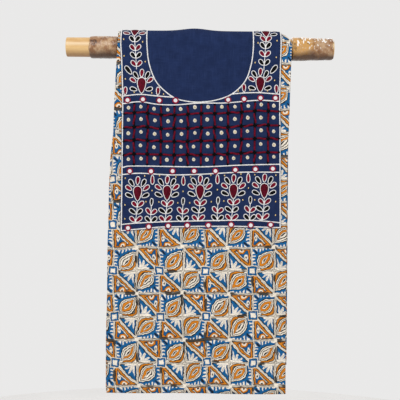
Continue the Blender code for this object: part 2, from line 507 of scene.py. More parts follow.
@dataclass(frozen=True)
class EyeCell:
    """The quarter cell with an eye, a crescent with its rays, and a rounded angle.

    Sizes are shares of the cell.  The eye is drawn in level lines of a lens, 0 along its
    middle and growing outward.
    """

    off: float = 0.15
    middle: float = 1.04
    slimness: float = 3.35
    far_point: float = 2.45
    near_point: float = 1.72
    rays: float = 7.0
    ray_start: float = 1.75
    ray_gap: float = 0.19
    ray_edge: float = 0.05
    ray_frame: tuple[float, float, float, float] = (0.045, 0.945, 0.84, 0.285)
    drop_half: float = 0.105
    drop_frame: Triple = (0.04, 0.955, 0.36)
    drop_inks: Inks = ((0.0, Ink.BLUE), (0.062, Ink.BLACK))
    crescent: float = 1.42
    crescent_edge: float = 0.04
    angle_corner: Pair = (0.55, 0.45)
    angle_power: float = 4.0
    angle_sides: Triple = (0.20, 0.66, 0.535)
    angle_inks: Inks = (
        (0.0, Ink.BLACK), (0.026, Ink.MUSTARD), (0.086, Ink.BLACK), (0.114, Ink.CREAM)
    )
    ring_reach: float = 1.08
    ring_inks: Inks = (
        (0.0, Ink.BLACK), (0.13, Ink.CREAM), (0.27, Ink.BLACK),
        (0.38, Ink.CREAM), (0.60, Ink.BLACK), (0.74, Ink.CREAM),
    )
    gold_reach: float = 0.60
    gold_inks: Inks = (
        (0.0, Ink.BLACK), (0.07, Ink.MUSTARD), (0.35, Ink.BLACK), (0.40, Ink.CREAM)
    )
    pupil: float = 0.11
    pupil_edge: float = 0.02

    def colour(self, bench: Bench, x: Field, y: Field, full: Field) -> Socket:
        """The cell's colour.

        Args:
            bench: the material's bench.
            x: place across the cell, 0 to 1 from the star.
            y: place down the cell, 0 to 1 from the star.
            full: where the eye is mustard on both sides.

        Returns:
            The colour's socket.
        """
        side = (y - x - self.off) * DIAGONAL
        along = (x + y - self.middle) * DIAGONAL
        stretch = (along * self.far_point).high(along * -self.near_point)
        lens = abs(side) * self.slimness + stretch * stretch
        outer = bench.step(side * -1.0, 0.0, INK_EDGE)
        ray_at = y.high(1.0 - x)
        comb = bench.math("WRAP", ray_at * self.rays - self.ray_start, 1.0, 0.0)
        comb = 0.5 - abs(comb - 0.5)
        top, right, end, start = self.ray_frame
        frame = least(y - top, right - x, end - ray_at, ray_at - start)
        rays = bench.step(comb, self.ray_gap, self.ray_edge) * bench.step(frame, 0.0, INK_EDGE)
        colour = bench.paint(Ink.CREAM.value, Ink.BLUE.value, rays * outer)
        corner = abs(x + y - 1.0)
        top, right, end = self.drop_frame
        drop = least(self.drop_half - corner, y - top, right - x, end - ray_at)
        colour = inked(bench, colour, drop, self.drop_inks)
        crescent = outer * bench.step(self.crescent - lens, 0.0, self.crescent_edge)
        colour = bench.paint(colour, Ink.BLUE.value, crescent)
        right = (self.angle_corner[0] - x).high(0.0)
        down = (y - self.angle_corner[1]).high(0.0)
        right = bench.math("POWER", right, self.angle_power)
        down = bench.math("POWER", down, self.angle_power)
        bend = bench.math("POWER", right + down, 1.0 / self.angle_power)
        top, right, reach = self.angle_sides
        angle = least(y - top, right - x, reach - bend)
        inner = bench.step(side, 0.02, INK_EDGE)
        colour = inked(bench, colour, angle, self.angle_inks, inner)
        colour = inked(bench, colour, self.ring_reach - lens, self.ring_inks)
        below = bench.step(side, -0.01, INK_EDGE).high(full)
        colour = inked(bench, colour, self.gold_reach - lens, self.gold_inks, below)
        pupil = bench.step(self.pupil - lens, 0.0, self.pupil_edge)
        return bench.paint(colour, Ink.BLACK.value, pupil)


@dataclass(frozen=True)
class KalamkariPrint:
    """Block-printed cotton: a square repeat of eyes and sails on cream.

    The repeat is alike when turned half round.  Its quarter cells are reckoned from the
    star where four of them meet, with half the repeat as 1, towards a blue square.
    """

    sails: SailCell = SailCell()
    eye: EyeCell = EyeCell()
    repeat: float = 94.1
    start: Pair = (-32.8, 414.0)
    lean: float = 0.026
    slope: float = 0.008
    cell_order: Pair = (0.618, 0.291)
    half_filled: float = 0.36
    rule_at: float = 0.024
    rule_half: float = 0.010
    rule_swell: float = 0.026
    rule_edge: float = 0.008
    rule_depth: float = 0.94
    star: float = 0.075
    star_edge: float = 0.02
    square: float = 0.215
    square_inks: Inks = (
        (0.0, Ink.CREAM), (0.030, Ink.BLACK), (0.052, Ink.BLUE), (0.116, Ink.CREAM)
    )
    drift_scales: Pair = (13.0, 17.0)
    drift: float = 12.0
    wobble_scales: Pair = (130.0, 150.0)
    wobble: float = 5.6
    press_scale: float = 26.0
    press_level: float = 0.60
    thread_pitches: Pair = (0.56, 0.60)

    def repeat_colour(self, bench: Bench, across: Field, path: Field, press: Field) -> Socket:
        """The printed colour at a place on the flat cloth.

        Args:
            bench: the material's bench.
            across: place across the cloth, in metres.
            path: place down the cloth, in metres.
            press: how hard the black block was pressed, 0 to 1.

        Returns:
            The colour's socket.
        """
        half = self.repeat * MM / 2.0
        dx = across - self.start[0] * MM
        dy = path - self.start[1] * MM
        cell_x = (dx - dy * self.lean) * (1.0 / half)
        cell_y = (dy + dx * self.slope) * (1.0 / half)
        order_x, order_y = self.cell_order
        order = bench.math("FLOOR", cell_x) * order_x + bench.math("FLOOR", cell_y) * order_y
        full = bench.math("GREATER_THAN", bench.math("FRACT", order), self.half_filled)
        tile_x = bench.math("WRAP", cell_x, 1.0, -1.0)
        tile_y = bench.math("WRAP", cell_y, 1.0, -1.0)
        x = tile_x * bench.math("SIGN", tile_y)
        y = abs(tile_y)
        wide = abs(x)
        sails = self.sails.colour(bench, wide, y)
        eye = self.eye.colour(bench, wide, y, full)
        colour = bench.paint(eye, sails, bench.math("GREATER_THAN", x, 0.0))
        line = wide.low(1.0 - wide).low(y.low(1.0 - y))
        rule = press * self.rule_swell - abs(line - self.rule_at) + self.rule_half
        rule = bench.step(rule, 0.0, self.rule_edge)
        colour = bench.paint(colour, Ink.BLACK.value, rule * self.rule_depth)
        star = bench.step(self.star - wide.high(y), 0.0, self.star_edge)
        colour = bench.paint(colour, Ink.CREAM.value, star)
        square = (1.0 - wide).high(1.0 - y)
        return inked(bench, colour, self.square - square, self.square_inks)

    def material(self) -> Material:
        """The printed cloth's material, read from its flat map.

        Returns:
            The material.
        """
        bench = Bench("kalamkari_print")
        flat = bench.places(CLOTH_MAP)
        across, path, _ = bench.axes(flat)
        slow, quick = self.drift_scales, self.wobble_scales
        drift = bench.noise(flat, slow[0], 1.0) - 0.5
        sway = bench.noise(bench.stretched(flat, (1.0, 1.0, 1.0), 1.3), slow[1], 1.0) - 0.5
        wobble = bench.noise(flat, quick[0], 2.0) - 0.5
        jitter = bench.noise(bench.stretched(flat, (1.0, 1.0, 1.0), 2.1), quick[1], 2.0) - 0.5
        far, near = self.drift * MM, self.wobble * MM
        moved_across = across + drift * far + wobble * near
        moved_path = path + sway * far + jitter * near
        press = bench.step(bench.noise(flat, self.press_scale, 1.0), self.press_level, 0.03)
        colour = self.repeat_colour(bench, moved_across, moved_path, press)
        blots = bench.noise(flat, 420.0, 3.0, 0.65)
        wash = bench.noise(flat, 30.0, 2.0)
        depth = bench.ramp(blots, 0.3, 0.72, 0.74, 1.22) * bench.ramp(wash, 0.3, 0.7, 0.9, 1.1)
        colour = bench.tint(colour, depth)
        bench.bump(bench.weave(across, path, self.thread_pitches) + blots * 0.5, 0.35, 0.0002)
        bench.set(Base_Color=colour, Roughness=bench.ramp(blots, 0.2, 0.8, 0.75, 0.92))
        bench.set(Sheen_Weight=0.03, Sheen_Roughness=0.5, Specular_IOR_Level=0.15)
        return bench.material


@dataclass(frozen=True)
class NavyCotton:
    """Navy slub cotton: plain weave with uneven, lighter threads both ways."""

    navy: Colour = (0.0125, 0.0235, 0.074)
    lifted: Colour = (0.026, 0.044, 0.120)
    thread_pitches: Pair = (0.62, 0.62)
    slubs_down: Triple = (900.0, 26.0, 1.0)
    slubs_across: Triple = (30.0, 900.0, 1.0)

    def material(self) -> Material:
        """The yoke's material, read from its flat map.

        Returns:
            The material.
        """
        bench = Bench("navy_cotton")
        flat = bench.places(CLOTH_MAP)
        across, path, _ = bench.axes(flat)
        down = bench.noise(bench.stretched(flat, self.slubs_down), 1.0, 2.0, 0.6)
        sideways = bench.noise(bench.stretched(flat, self.slubs_across), 1.0, 2.0, 0.6)
        slub = bench.ramp(down, 0.50, 0.74, 0.0, 0.62)
        slub = slub.high(bench.ramp(sideways, 0.52, 0.76, 0.0, 0.55))
        wash = bench.noise(flat, 46.0, 3.0, 0.6)
        colour = bench.paint(self.navy, self.lifted, slub)
        colour = bench.tint(colour, bench.ramp(wash, 0.3, 0.7, 0.84, 1.20))
        bench.bump(bench.weave(across, path, self.thread_pitches) + slub * 0.8, 0.4, 0.0002)
        bench.set(Base_Color=colour, Roughness=bench.ramp(down, 0.3, 0.7, 0.78, 0.92))
        bench.set(Sheen_Weight=0.02, Sheen_Tint=(0.3, 0.4, 0.8, 1.0), Specular_IOR_Level=0.05)
        return bench.material


class ThreadColour(Enum):
    """The embroidery's thread colours."""

    WHITE = (0.92, 0.91, 0.90)
    CREAM = (0.76, 0.72, 0.62)
    CRIMSON = (0.34, 0.012, 0.045)
    MAROON = (0.205, 0.0045, 0.022)
    WINE = (0.115, 0.0030, 0.014)
    BLACK = (0.0030, 0.0026, 0.0028)


@dataclass(frozen=True)
class ThreadFinish:
    """Stranded cotton thread: a soft sheen, fibres and slight shade changes."""

    colour: ThreadColour
    uneven_pale: float = 0.86
    uneven_dyed: float = 0.55

    def material(self) -> Material:
        """The thread's material.

        Returns:
            The material.
        """
        bench = Bench(f"thread_{self.colour.name.lower()}")
        place = bench.places()
        strand = bench.noise(place, 2600.0, 2.0, 0.6)
        shade = bench.noise(place, 260.0, 2.0)
        tone = bench.ramp(strand, 0.3, 0.7, 0.78, 1.12)
        pale = self.colour in (ThreadColour.WHITE, ThreadColour.CREAM)
        uneven = self.uneven_pale if pale else self.uneven_dyed
        tone = tone * bench.ramp(shade, 0.35, 0.65, uneven, 1.12)
        bench.bump(strand, 0.5, 0.00012)
        bench.set(Base_Color=bench.tint(self.colour.value, tone))
        bench.set(Roughness=bench.ramp(strand, 0.3, 0.7, 0.42, 0.62))
        bench.set(Sheen_Weight=0.01, Sheen_Roughness=0.4, Specular_IOR_Level=0.06)
        return bench.material


@dataclass(frozen=True)
class MirrorGlass:
    """Small silvered glass discs, a little smeared."""

    silver: Colour = (0.98, 0.97, 0.985)
    smear: Colour = (0.86, 0.80, 0.84)

    def material(self) -> Material:
        """The mirrors' material.

        Returns:
            The material.
        """
        bench = Bench("mirror_silver")
        place = bench.places()
        cloud = bench.noise(place, 330.0, 3.0)
        colour = bench.paint(self.silver, self.smear, bench.ramp(cloud, 0.5, 0.75, 0.0, 0.6))
        bench.bump(bench.noise(place, 240.0, 1.0), 0.12, 0.0003)
        bench.set(Base_Color=colour, Roughness=bench.ramp(cloud, 0.3, 0.8, 0.06, 0.22))
        bench.set(Metallic=1.0)
        return bench.material


@dataclass(frozen=True)
class GoldBead:
    """Glossy gilt glass beads and sequin centres."""

    gold: Colour = (0.62, 0.40, 0.12)
    pale: Colour = (0.86, 0.70, 0.38)

    def material(self) -> Material:
        """The beads' material.

        Returns:
            The material.
        """
        bench = Bench("gilt_bead")
        cloud = bench.noise(bench.places(), 900.0, 2.0)
        colour = bench.paint(self.gold, self.pale, bench.ramp(cloud, 0.35, 0.65, 0.0, 1.0))
        bench.set(Base_Color=colour, Metallic=0.65)
        bench.set(Roughness=bench.ramp(cloud, 0.3, 0.7, 0.18, 0.34))
        return bench.material


@dataclass(frozen=True)
class Bamboo:
    """Golden bamboo culm: long fibres, brown streaks, a sawn end with its wall, a painted highlight
    band, painted shade underneath and painted shade inside the hollow ends.
    """

    golden: Colour = (0.76, 0.50, 0.215)
    tan: Colour = (0.58, 0.31, 0.10)
    # The brown of the streaks and of the cut end's specks, also used for the painted shade
    # underneath.
    streak_and_shade: Colour = (0.26, 0.115, 0.038)
    # The painted highlight band's colour.
    pale: Colour = (0.85, 0.68, 0.44)
    pith: Colour = (0.55, 0.38, 0.20)
    # The painted shade inside the hollow ends.
    core: Colour = (0.085, 0.045, 0.020)
    core_radius: float = 13.9
    end_radius: float = 19.2

    def material(self) -> Material:
        """The pole's material, read from its own space with the pole along X.

        Returns:
            The material.
        """
        bench = Bench("bamboo_culm")
        place = bench.places()
        _, y, z = bench.axes(place)
        fibre = bench.noise(bench.stretched(place, (6.0, 800.0, 800.0)), 1.0, 3.0, 0.6)
        patch = bench.noise(bench.stretched(place, (14.0, 60.0, 60.0)), 1.0, 3.0, 0.55)
        colour = bench.paint(self.golden, self.tan, bench.ramp(patch, 0.40, 0.66, 0.0, 0.9))
        # Painted highlight: a paler band along the pole a little above its middle, where the light
        # falls.
        band = 0.006 - abs(z + (patch - 0.5) * 0.006 - 0.004)
        colour = bench.paint(colour, self.pale, bench.ramp(band, 0.0, 0.006, 0.0, 0.65))
        colour = bench.paint(colour, self.streak_and_shade, bench.ramp(fibre, 0.56, 0.78, 0.0, 0.5))
        # Painted shade: the streak colour laid over the pole's underside, darker towards the
        # bottom.
        under = bench.ramp(z + (patch - 0.5) * 0.008, -0.008, -0.0195, 0.0, 0.8)
        colour = bench.paint(colour, self.streak_and_shade, under)
        radius = bench.math("SQRT", y * y + z * z)
        dots = bench.noise(bench.stretched(place, (1.0, 1300.0, 1300.0)), 1.0, 1.0)
        cut = bench.paint(self.pith, self.streak_and_shade, bench.ramp(dots, 0.52, 0.66, 0.0, 0.7))
        # Painted shade: the inside of the hollow end is laid very dark.
        hollow = bench.step(self.core_radius * MM - radius, 0.0, 0.0004)
        cut = bench.paint(cut, self.core, hollow)
        colour = bench.paint(colour, cut, bench.step(self.end_radius * MM - radius, 0.0, 0.0003))
        bench.bump(fibre, 0.25, 0.0003)
        bench.set(Base_Color=colour)
        bench.set(Roughness=bench.ramp(fibre, 0.3, 0.7, 0.34, 0.55), Coat_Weight=0.15)
        bench.set(Coat_Roughness=0.25)
        return bench.material


@dataclass(frozen=True)
class BindingFilm:
    """Crinkled brown film bound tight round the bamboo, with bright painted glints.

    It is golden up to a place along the pole, with painted shade underneath and in the crinkles'
    troughs.
    """

    brown: Colour = (0.29, 0.135, 0.055)
    pale: Colour = (0.50, 0.325, 0.185)
    # The painted glints' colour.
    glint: Colour = (0.95, 0.92, 0.88)
    amber: Colour = (0.68, 0.36, 0.085)
    shade: Colour = (0.060, 0.022, 0.008)
    amber_end: float = 0.01
    # How strong the painted glints are.
    glints: float = 0.15

    def material(self, name: str) -> Material:
        """The film's material.

        Args:
            name: the material's name.

        Returns:
            The material.
        """
        bench = Bench(name)
        place = bench.places()
        x, _, z = bench.axes(place)
        crinkle = bench.noise(bench.stretched(place, (75.0, 90.0, 60.0), 0.7), 1.0, 3.0, 0.6)
        facet = bench.noise(bench.stretched(place, (210.0, 80.0, 110.0), -0.5), 1.0, 2.0, 0.6)
        cloud = bench.noise(place, 38.0, 2.0, 0.5)
        colour = bench.paint(self.brown, self.pale, bench.ramp(crinkle, 0.44, 0.60, 0.0, 1.0))
        gold = bench.step(self.amber_end - x + (cloud - 0.5) * 0.06, 0.0, 0.008)
        colour = bench.paint(colour, self.amber, gold * bench.ramp(crinkle, 0.38, 0.58, 0.95, 0.45))
        # Painted shade: darker towards the film's underside and in the troughs of its crinkles.
        under = bench.ramp(z + (cloud - 0.5) * 0.016, -0.006, -0.019, 0.0, 0.92)
        under = under.high(bench.ramp(crinkle, 0.42, 0.30, 0.0, 0.9))
        colour = bench.paint(colour, self.shade, under)
        # Painted highlight: bright glints laid on the film's upper side.
        above = bench.ramp(z, -0.008, 0.004, 0.0, 1.0)
        glint = bench.ramp(facet, 0.565, 0.61, 0.0, self.glints) * above
        colour = bench.paint(colour, self.glint, glint)
        bench.bump(crinkle + facet * 0.6, 0.8, 0.0016)
        bench.set(Base_Color=colour, Roughness=bench.ramp(cloud, 0.3, 0.7, 0.16, 0.34))
        bench.set(Coat_Weight=0.3, Coat_Roughness=0.08, Specular_IOR_Level=0.35)
        return bench.material


@dataclass(frozen=True)
class FloorPaint:
    """A plain pale floor."""

    pale: Colour = (0.80, 0.79, 0.78)

    def material(self) -> Material:
        """The floor's material.

        Returns:
            The material.
        """
        bench = Bench("floor_paint")
        cloud = bench.noise(bench.places(), 3.0, 2.0)
        bench.set(Base_Color=bench.tint(self.pale, bench.ramp(cloud, 0.3, 0.7, 0.97, 1.03)))
        bench.set(Roughness=bench.ramp(cloud, 0.3, 0.7, 0.82, 0.9))
        return bench.material


# ---- the hung shape ----


@dataclass(frozen=True)
class Crease:
    """A soft ridge or trough in the hung cloth.

    It lies at (across, path), runs half its length to each side at a lean from the
    level, and stands out by its rise, or in where that is less than 0.
    """

    across: float
    path: float
    half_length: float
    half_width: float
    rise: float
    lean: float

    def height(self, across: Array, path: Array) -> Array:
        """How far the cloth stands out because of it.

        Args:
            across: places across.
            path: places along.

        Returns:
            The distance at each place.
        """
        turn = math.radians(self.lean)
        dx, dy = across - self.across, path - self.path
        along = (dx * math.cos(turn) + dy * math.sin(turn)) / self.half_length
        aside = (dy * math.cos(turn) - dx * math.sin(turn)) / self.half_width
        return self.rise * np.exp(-(along**4) - aside**2)


@dataclass(frozen=True)
class Hang:
    """The shape in which the folded cloth hangs, the same as its solid's."""

    centre_x: float
    pole_radius: float = 20.0
    solid_thickness: float = 1.6
    front_drop: float = 712.0
    back_drop: float = 664.0
    side_clearance: float = 2.2
    seat_gap: float = 0.6
    layers: int = 3
    pitch_top: float = 3.2
    pitch_hem: float = 2.5
    stagger: float = 0.004
    right_tuck: float = 13.0
    puff_base: float = 5.2
    puff_crest: float = 5.1
    crest_x: float = -11.0
    crest_width: float = 34.0
    puff_right_end: float = 176.0
    puff_fade: float = 14.0
    wave_length: float = 230.0
    wave_top: float = 0.3
    wave_hem: float = 2.6
    crease_drop: float = 505.5
    crease_depth: float = 2.4
    crease_width: float = 13.0
    # Each row: reach, free left edge, left fold, right fold.
    edges: tuple[tuple[float, float, float, float], ...] = (
        (-664.0, -172.0, -169.0, 189.0), (-300.0, -170.5, -167.5, 188.5),
        (0.0, -169.0, -166.0, 187.5), (94.0, -173.5, -170.0, 185.0),
        (159.0, -175.5, -173.5, 183.5), (204.0, -176.5, -178.5, 181.8),
        (234.0, -177.5, -181.5, 180.8), (267.0, -180.0, -182.5, 180.0),
        (294.0, -183.0, -183.8, 179.8), (414.0, -185.5, -184.2, 180.5),
        (609.0, -185.5, -187.0, 180.5), (712.0, -184.5, -186.0, 181.8),
    )
    creases: tuple[Crease, ...] = (
        Crease(-14.0, 26.0, 44.0, 10.0, 0.9, 88.0), Crease(62.0, 40.0, 36.0, 12.0, -0.8, 80.0),
        Crease(-70.0, 56.0, 30.0, 9.0, -0.6, 100.0), Crease(22.0, 80.0, 34.0, 8.0, 0.5, 12.0),
        Crease(-90.0, 184.0, 58.0, 7.0, -0.5, 4.0), Crease(60.0, 206.0, 70.0, 7.0, 0.5, -3.0),
        Crease(-20.0, 322.0, 60.0, 7.0, 0.5, -4.0), Crease(-112.0, 440.0, 44.0, 12.0, -1.2, 78.0),
        Crease(38.0, 456.0, 40.0, 14.0, 1.3, 84.0), Crease(122.0, 572.0, 60.0, 13.0, -1.3, 95.0),
        Crease(-58.0, 600.0, 72.0, 15.0, 1.2, 88.0), Crease(152.0, 436.0, 42.0, 9.0, 0.9, 100.0),
        Crease(-160.0, 560.0, 80.0, 9.0, -1.0, 90.0), Crease(14.0, 664.0, 44.0, 12.0, -1.0, 62.0),
        Crease(-124.0, 668.0, 40.0, 10.0, 0.9, 118.0),
        Crease(-64.0, -330.0, 120.0, 16.0, 1.2, 90.0),
        Crease(82.0, -420.0, 140.0, 18.0, -1.3, 86.0),
        Crease(14.0, -640.0, 110.0, 14.0, 1.1, 93.0),
        Crease(-120.0, -600.0, 90.0, 12.0, -1.0, 84.0),
    )

    def edge(self, reach: float, column: int) -> float:
        """A column of the edges' table, read at a reach."""
        table = np.array(self.edges)
        return float(np.interp(reach, table[:, 0], table[:, column]))

    def pitch(self, drop: Array) -> Array:
        """Distance from one layer's middle to the next, at a drop."""
        share = np.minimum(drop / self.front_drop, 1.0)
        return self.pitch_top + (self.pitch_hem - self.pitch_top) * share

    def puff(self, across: Array) -> Array:
        """How far the stack's outer face arches up off the pole.

        Args:
            across: places across.

        Returns:
            The height at each place.
        """
        share = np.clip((self.puff_right_end - across) / self.puff_fade, 0.0, 1.0)
        crest = np.exp(-(((across - self.crest_x) / self.crest_width) ** 2))
        return (self.puff_base + self.puff_crest * crest) * share**2 * (3.0 - 2.0 * share)

    def wave(self, across: Array, drop: Array, behind: Array) -> Array:
        """Shift along +Y of every layer: soft folds and the front's press crease.

        Args:
            across: places across.
            drop: how far each place lies below the pole's height.
            behind: whether it lies behind the pole.

        Returns:
            The shift at each place.
        """
        share = np.minimum(drop / self.front_drop, 1.0)
        depth = self.wave_top * np.minimum(share * 8.0, 1.0)
        depth = depth + (self.wave_hem - self.wave_top) * share**2
        folds = depth * np.sin(FULL_TURN * across / self.wave_length + 2.0 * share)
        crease = np.exp(-(((drop - self.crease_drop) / self.crease_width) ** 2))
        return folds + np.where(behind, 0.0, self.crease_depth * crease)

    def arch_length(self, across: Array) -> Array:
        """Distance over the pole, from its height in front to its height behind.

        Args:
            across: places across.

        Returns:
            The distance at each place.
        """
        out = (self.layers - 1) * self.pitch_top + self.solid_thickness / 2.0
        half_width = self.pole_radius + self.side_clearance + out
        height = self.pole_radius + self.seat_gap + out + self.puff(across)
        return math.pi * np.sqrt((half_width**2 + height**2) / 2.0)

    def place(self, across: Array, path: Array, depth: Array, shift: Array) -> Array:
        """Points of the hung cloth.

        Args:
            across: places across.
            path: places along the cloth.
            depth: layers out from the pole, 0 to layers - 1.
            shift: further distance outward.

        Returns:
            One point in metres for each place.
        """
        across, path, depth, shift = np.broadcast_arrays(across, path, depth, shift)
        arch = self.arch_length(across)
        angle = np.clip(-path / arch, 0.0, 1.0) * math.pi
        behind = path < -arch
        drop = np.where(behind, -path - arch, np.maximum(path, 0.0))
        out = depth * self.pitch(drop) + self.solid_thickness / 2.0 + shift
        half_width = self.pole_radius + self.side_clearance + out
        lift = self.puff(across) * depth / (self.layers - 1.0)
        height = self.pole_radius + self.seat_gap + out + lift
        rise = sum(crease.height(across, path) for crease in self.creases)
        y = -half_width * np.cos(angle) + self.wave(across, drop, behind) - rise * np.cos(angle)
        z = height * np.sin(angle)
        z = z - drop * (1.0 - self.stagger * (self.layers - 1.0 - depth))
        return np.stack([self.centre_x + across, y, z], axis=-1) * MM


# ---- mesh helpers ----


class MeshPot:
    """Gathers the points and faces of one joined mesh."""

    def __init__(self) -> None:
        """Starts empty."""
        self.points: list[Array] = []
        self.faces: list[Array] = []
        self.count = 0

    def add(self, points: Array, faces: Array) -> None:
        """Adds one or many copies of a shape.

        Args:
            points: points of one shape, or of many with the copies first.
            faces: corner numbers of one shape's faces.
        """
        copies = points.reshape(-1, points.shape[-2], 3)
        starts = self.count + np.arange(len(copies)) * copies.shape[1]
        self.points.append(copies.reshape(-1, 3))
        self.faces.append((faces[None] + starts[:, None, None]).reshape(-1, faces.shape[1]))
        self.count += len(copies) * copies.shape[1]

    def add_grid(
        self, points: Array, loop_rows: bool = False, loop_columns: bool = False
    ) -> None:
        """Adds a grid of points, joined by quads.

        Args:
            points: the points, row by row.
            loop_rows: whether the last row joins the first.
            loop_columns: whether each row closes on itself.
        """
        faces = grid_faces(*points.shape[:2], loop_rows, loop_columns)
        self.add(points.reshape(1, -1, 3), faces)

    def build(self, name: str, material: Material) -> Piece:
        """Makes the mesh object, smooth shaded, and rides it on the body.

        Args:
            name: the piece's name.
            material: its finish.

        Returns:
            The piece.
        """
        mesh = bpy.data.meshes.new(name)
        faces = [tuple(face) for block in self.faces for face in block.tolist()]
        mesh.from_pydata(np.concatenate(self.points).tolist(), [], faces)
        mesh.materials.append(material)
        mesh.shade_smooth()
        piece = bpy.data.objects.new(name, mesh)
        bpy.context.scene.collection.objects.link(piece)
        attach(piece, BODY)
        LOG.info("%s: %d faces", name, len(faces))
        return piece


def grid_faces(
    rows: int, columns: int, loop_rows: bool = False, loop_columns: bool = False
) -> Array:
    """Quads between the points of a grid stored row by row.

    Args:
        rows: how many rows of points.
        columns: how many points in a row.
        loop_rows: whether the last row joins the first.
        loop_columns: whether each row closes on itself.

    Returns:
        Corner numbers, four to a face.
    """
    row = np.arange(rows if loop_rows else rows - 1)[:, None]
    column = np.arange(columns if loop_columns else columns - 1)[None, :]
    next_row, next_column = (row + 1) % rows, (column + 1) % columns
    corners = (
        row * columns + column,
        row * columns + next_column,
        next_row * columns + next_column,
        next_row * columns + column,
    )
    return np.stack(np.broadcast_arrays(*corners), axis=-1).reshape(-1, 4)


def add_thickness(piece: Piece, thickness: float) -> None:
    """Gives an open sheet its thickness, evenly to both sides.

    Args:
        piece: the sheet.
        thickness: in millimetres.
    """
    skin = piece.modifiers.new("thickness", "SOLIDIFY")
    skin.thickness = thickness * MM
    skin.offset = 0.0
    skin.use_even_offset = True


def map_flat(piece: Piece, flat: Array) -> None:
    """Stores each point's place on the flat cloth, in metres, as a map.

    Args:
        piece: the sheet.
        flat: (across, path) of each point.
    """
    layer = piece.data.uv_layers.new(name=CLOTH_MAP)
    corners = np.zeros(len(piece.data.loops), np.int32)
    piece.data.loops.foreach_get("vertex_index", corners)
    layer.uv.foreach_set("vector", (flat[corners] * MM).astype(np.float32).ravel())


# ---- sheets ----


@dataclass
class PrintedCloth:
    """The kalamkari cloth: one thin sheet folded in three and hung over the pole."""

    hang: Hang
    thickness: float = 1.0
    flat_width: float = 1118.0
    outer_steps: int = 44
    inner_steps: int = 16
    fold_steps: int = 8
    front_steps: int = 90
    arch_steps: int = 26
    back_steps: int = 46
    inner_edge_short: float = 9.0

    def section(self, reach: float, drop: float, share: float) -> Array:
        """One row across the three layers.

        Args:
            reach: the drop in front of the pole, or less than 0 behind it.
            drop: how far below the pole's height.
            share: how far over the pole, 0 in front and 1 behind.

        Returns:
            A row of (across, depth, place on the flat cloth).
        """
        hang = self.hang
        radius = float(hang.pitch(np.array(drop))) / 2.0
        free_left = hang.edge(reach, 1)
        left = hang.edge(reach, 2) + radius
        fold_right = hang.edge(reach, 3) - hang.right_tuck * math.sin(math.pi * share) ** 2
        right = fold_right - radius
        inner_end = fold_right - self.inner_edge_short
        turn = np.linspace(0.0, math.pi, self.fold_steps + 1)[1:-1]
        outer = np.linspace(free_left, right, self.outer_steps + 1)
        middle = np.linspace(right, left, self.inner_steps + 1)
        inner = np.linspace(left, inner_end, self.inner_steps + 1)
        across = np.concatenate(
            [outer, right + radius * np.sin(turn), middle, left - radius * np.sin(turn), inner]
        )
        fall = (1.0 - np.cos(turn)) / 2.0
        depth = np.concatenate(
            [np.full(outer.shape, 2.0), 2.0 - fall, np.ones(middle.shape), 1.0 - fall, inner * 0.0]
        )
        steps = np.hypot(np.diff(across), np.diff(depth) * 2.0 * radius)
        flat = free_left + np.concatenate([[0.0], np.cumsum(steps)])
        return np.stack([across, depth, flat], axis=-1)

    def build(self) -> Piece:
        """Returns:
            The sheet.
        """
        hang = self.hang
        rows, flats = [], []
        front = np.linspace(hang.front_drop, 0.0, self.front_steps + 1)
        arch = np.linspace(0.0, 1.0, self.arch_steps + 1)[1:-1]
        back = np.linspace(0.0, hang.back_drop, self.back_steps + 1)
        stations = [(drop, drop, 0.0, 0.0) for drop in front]
        stations += [(0.0, 0.0, share, 0.0) for share in arch]
        stations += [(-drop, drop, 1.0, drop) for drop in back]
        for reach, drop, share, tail in stations:
            across, depth, flat = self.section(reach, drop, share).T
            path = np.where(reach > 0.0, drop, -share * hang.arch_length(across) - tail)
            rows.append(hang.place(across, path, depth, 0.0))
            flats.append(np.stack([flat, path], axis=-1))
        pot = MeshPot()
        pot.add_grid(np.array(rows))
        piece = pot.build("printed_cloth_sheet", KalamkariPrint().material())
        map_flat(piece, np.array(flats).reshape(-1, 2))
        add_thickness(piece, self.thickness)
        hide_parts("printed_cloth")
        length = hang.front_drop + float(hang.arch_length(np.array(0.0))) + hang.back_drop
        return piece


@dataclass
class YokeLayout:
    """Where the yoke's sides and lower edge lie."""

    # Each row: reach, left, right.
    sides: tuple[Triple, ...] = (
        (-70.0, -163.5, 167.0), (-10.0, -164.6, 168.0), (6.0, -163.4, 167.6),
        (30.0, -161.6, 166.8), (87.0, -159.3, 165.8), (130.0, -158.6, 165.8),
        (163.0, -158.7, 166.8), (265.0, -158.9, 168.0), (316.0, -159.1, 168.8),
        (381.5, -159.2, 169.3),
    )
    # Each pair: across, drop.
    hem: tuple[Pair, ...] = (
        (-158.0, 382.4), (-80.0, 374.1), (0.0, 371.8), (80.0, 371.0), (169.0, 373.0),
    )

    def side(self, path: Array, right: bool) -> Array:
        """The left or right edge's place across, at a place along."""
        reach, left_edge, right_edge = np.array(self.sides).T
        return np.interp(path, reach, right_edge if right else left_edge)

    def hem_drop(self, across: Array) -> Array:
        """The lower edge's drop."""
        return np.interp(across, *np.array(self.hem).T)

    def middle_drop(self) -> float:
        """The lower edge's drop at the middle."""
        return float(self.hem_drop(np.array(0.0)))


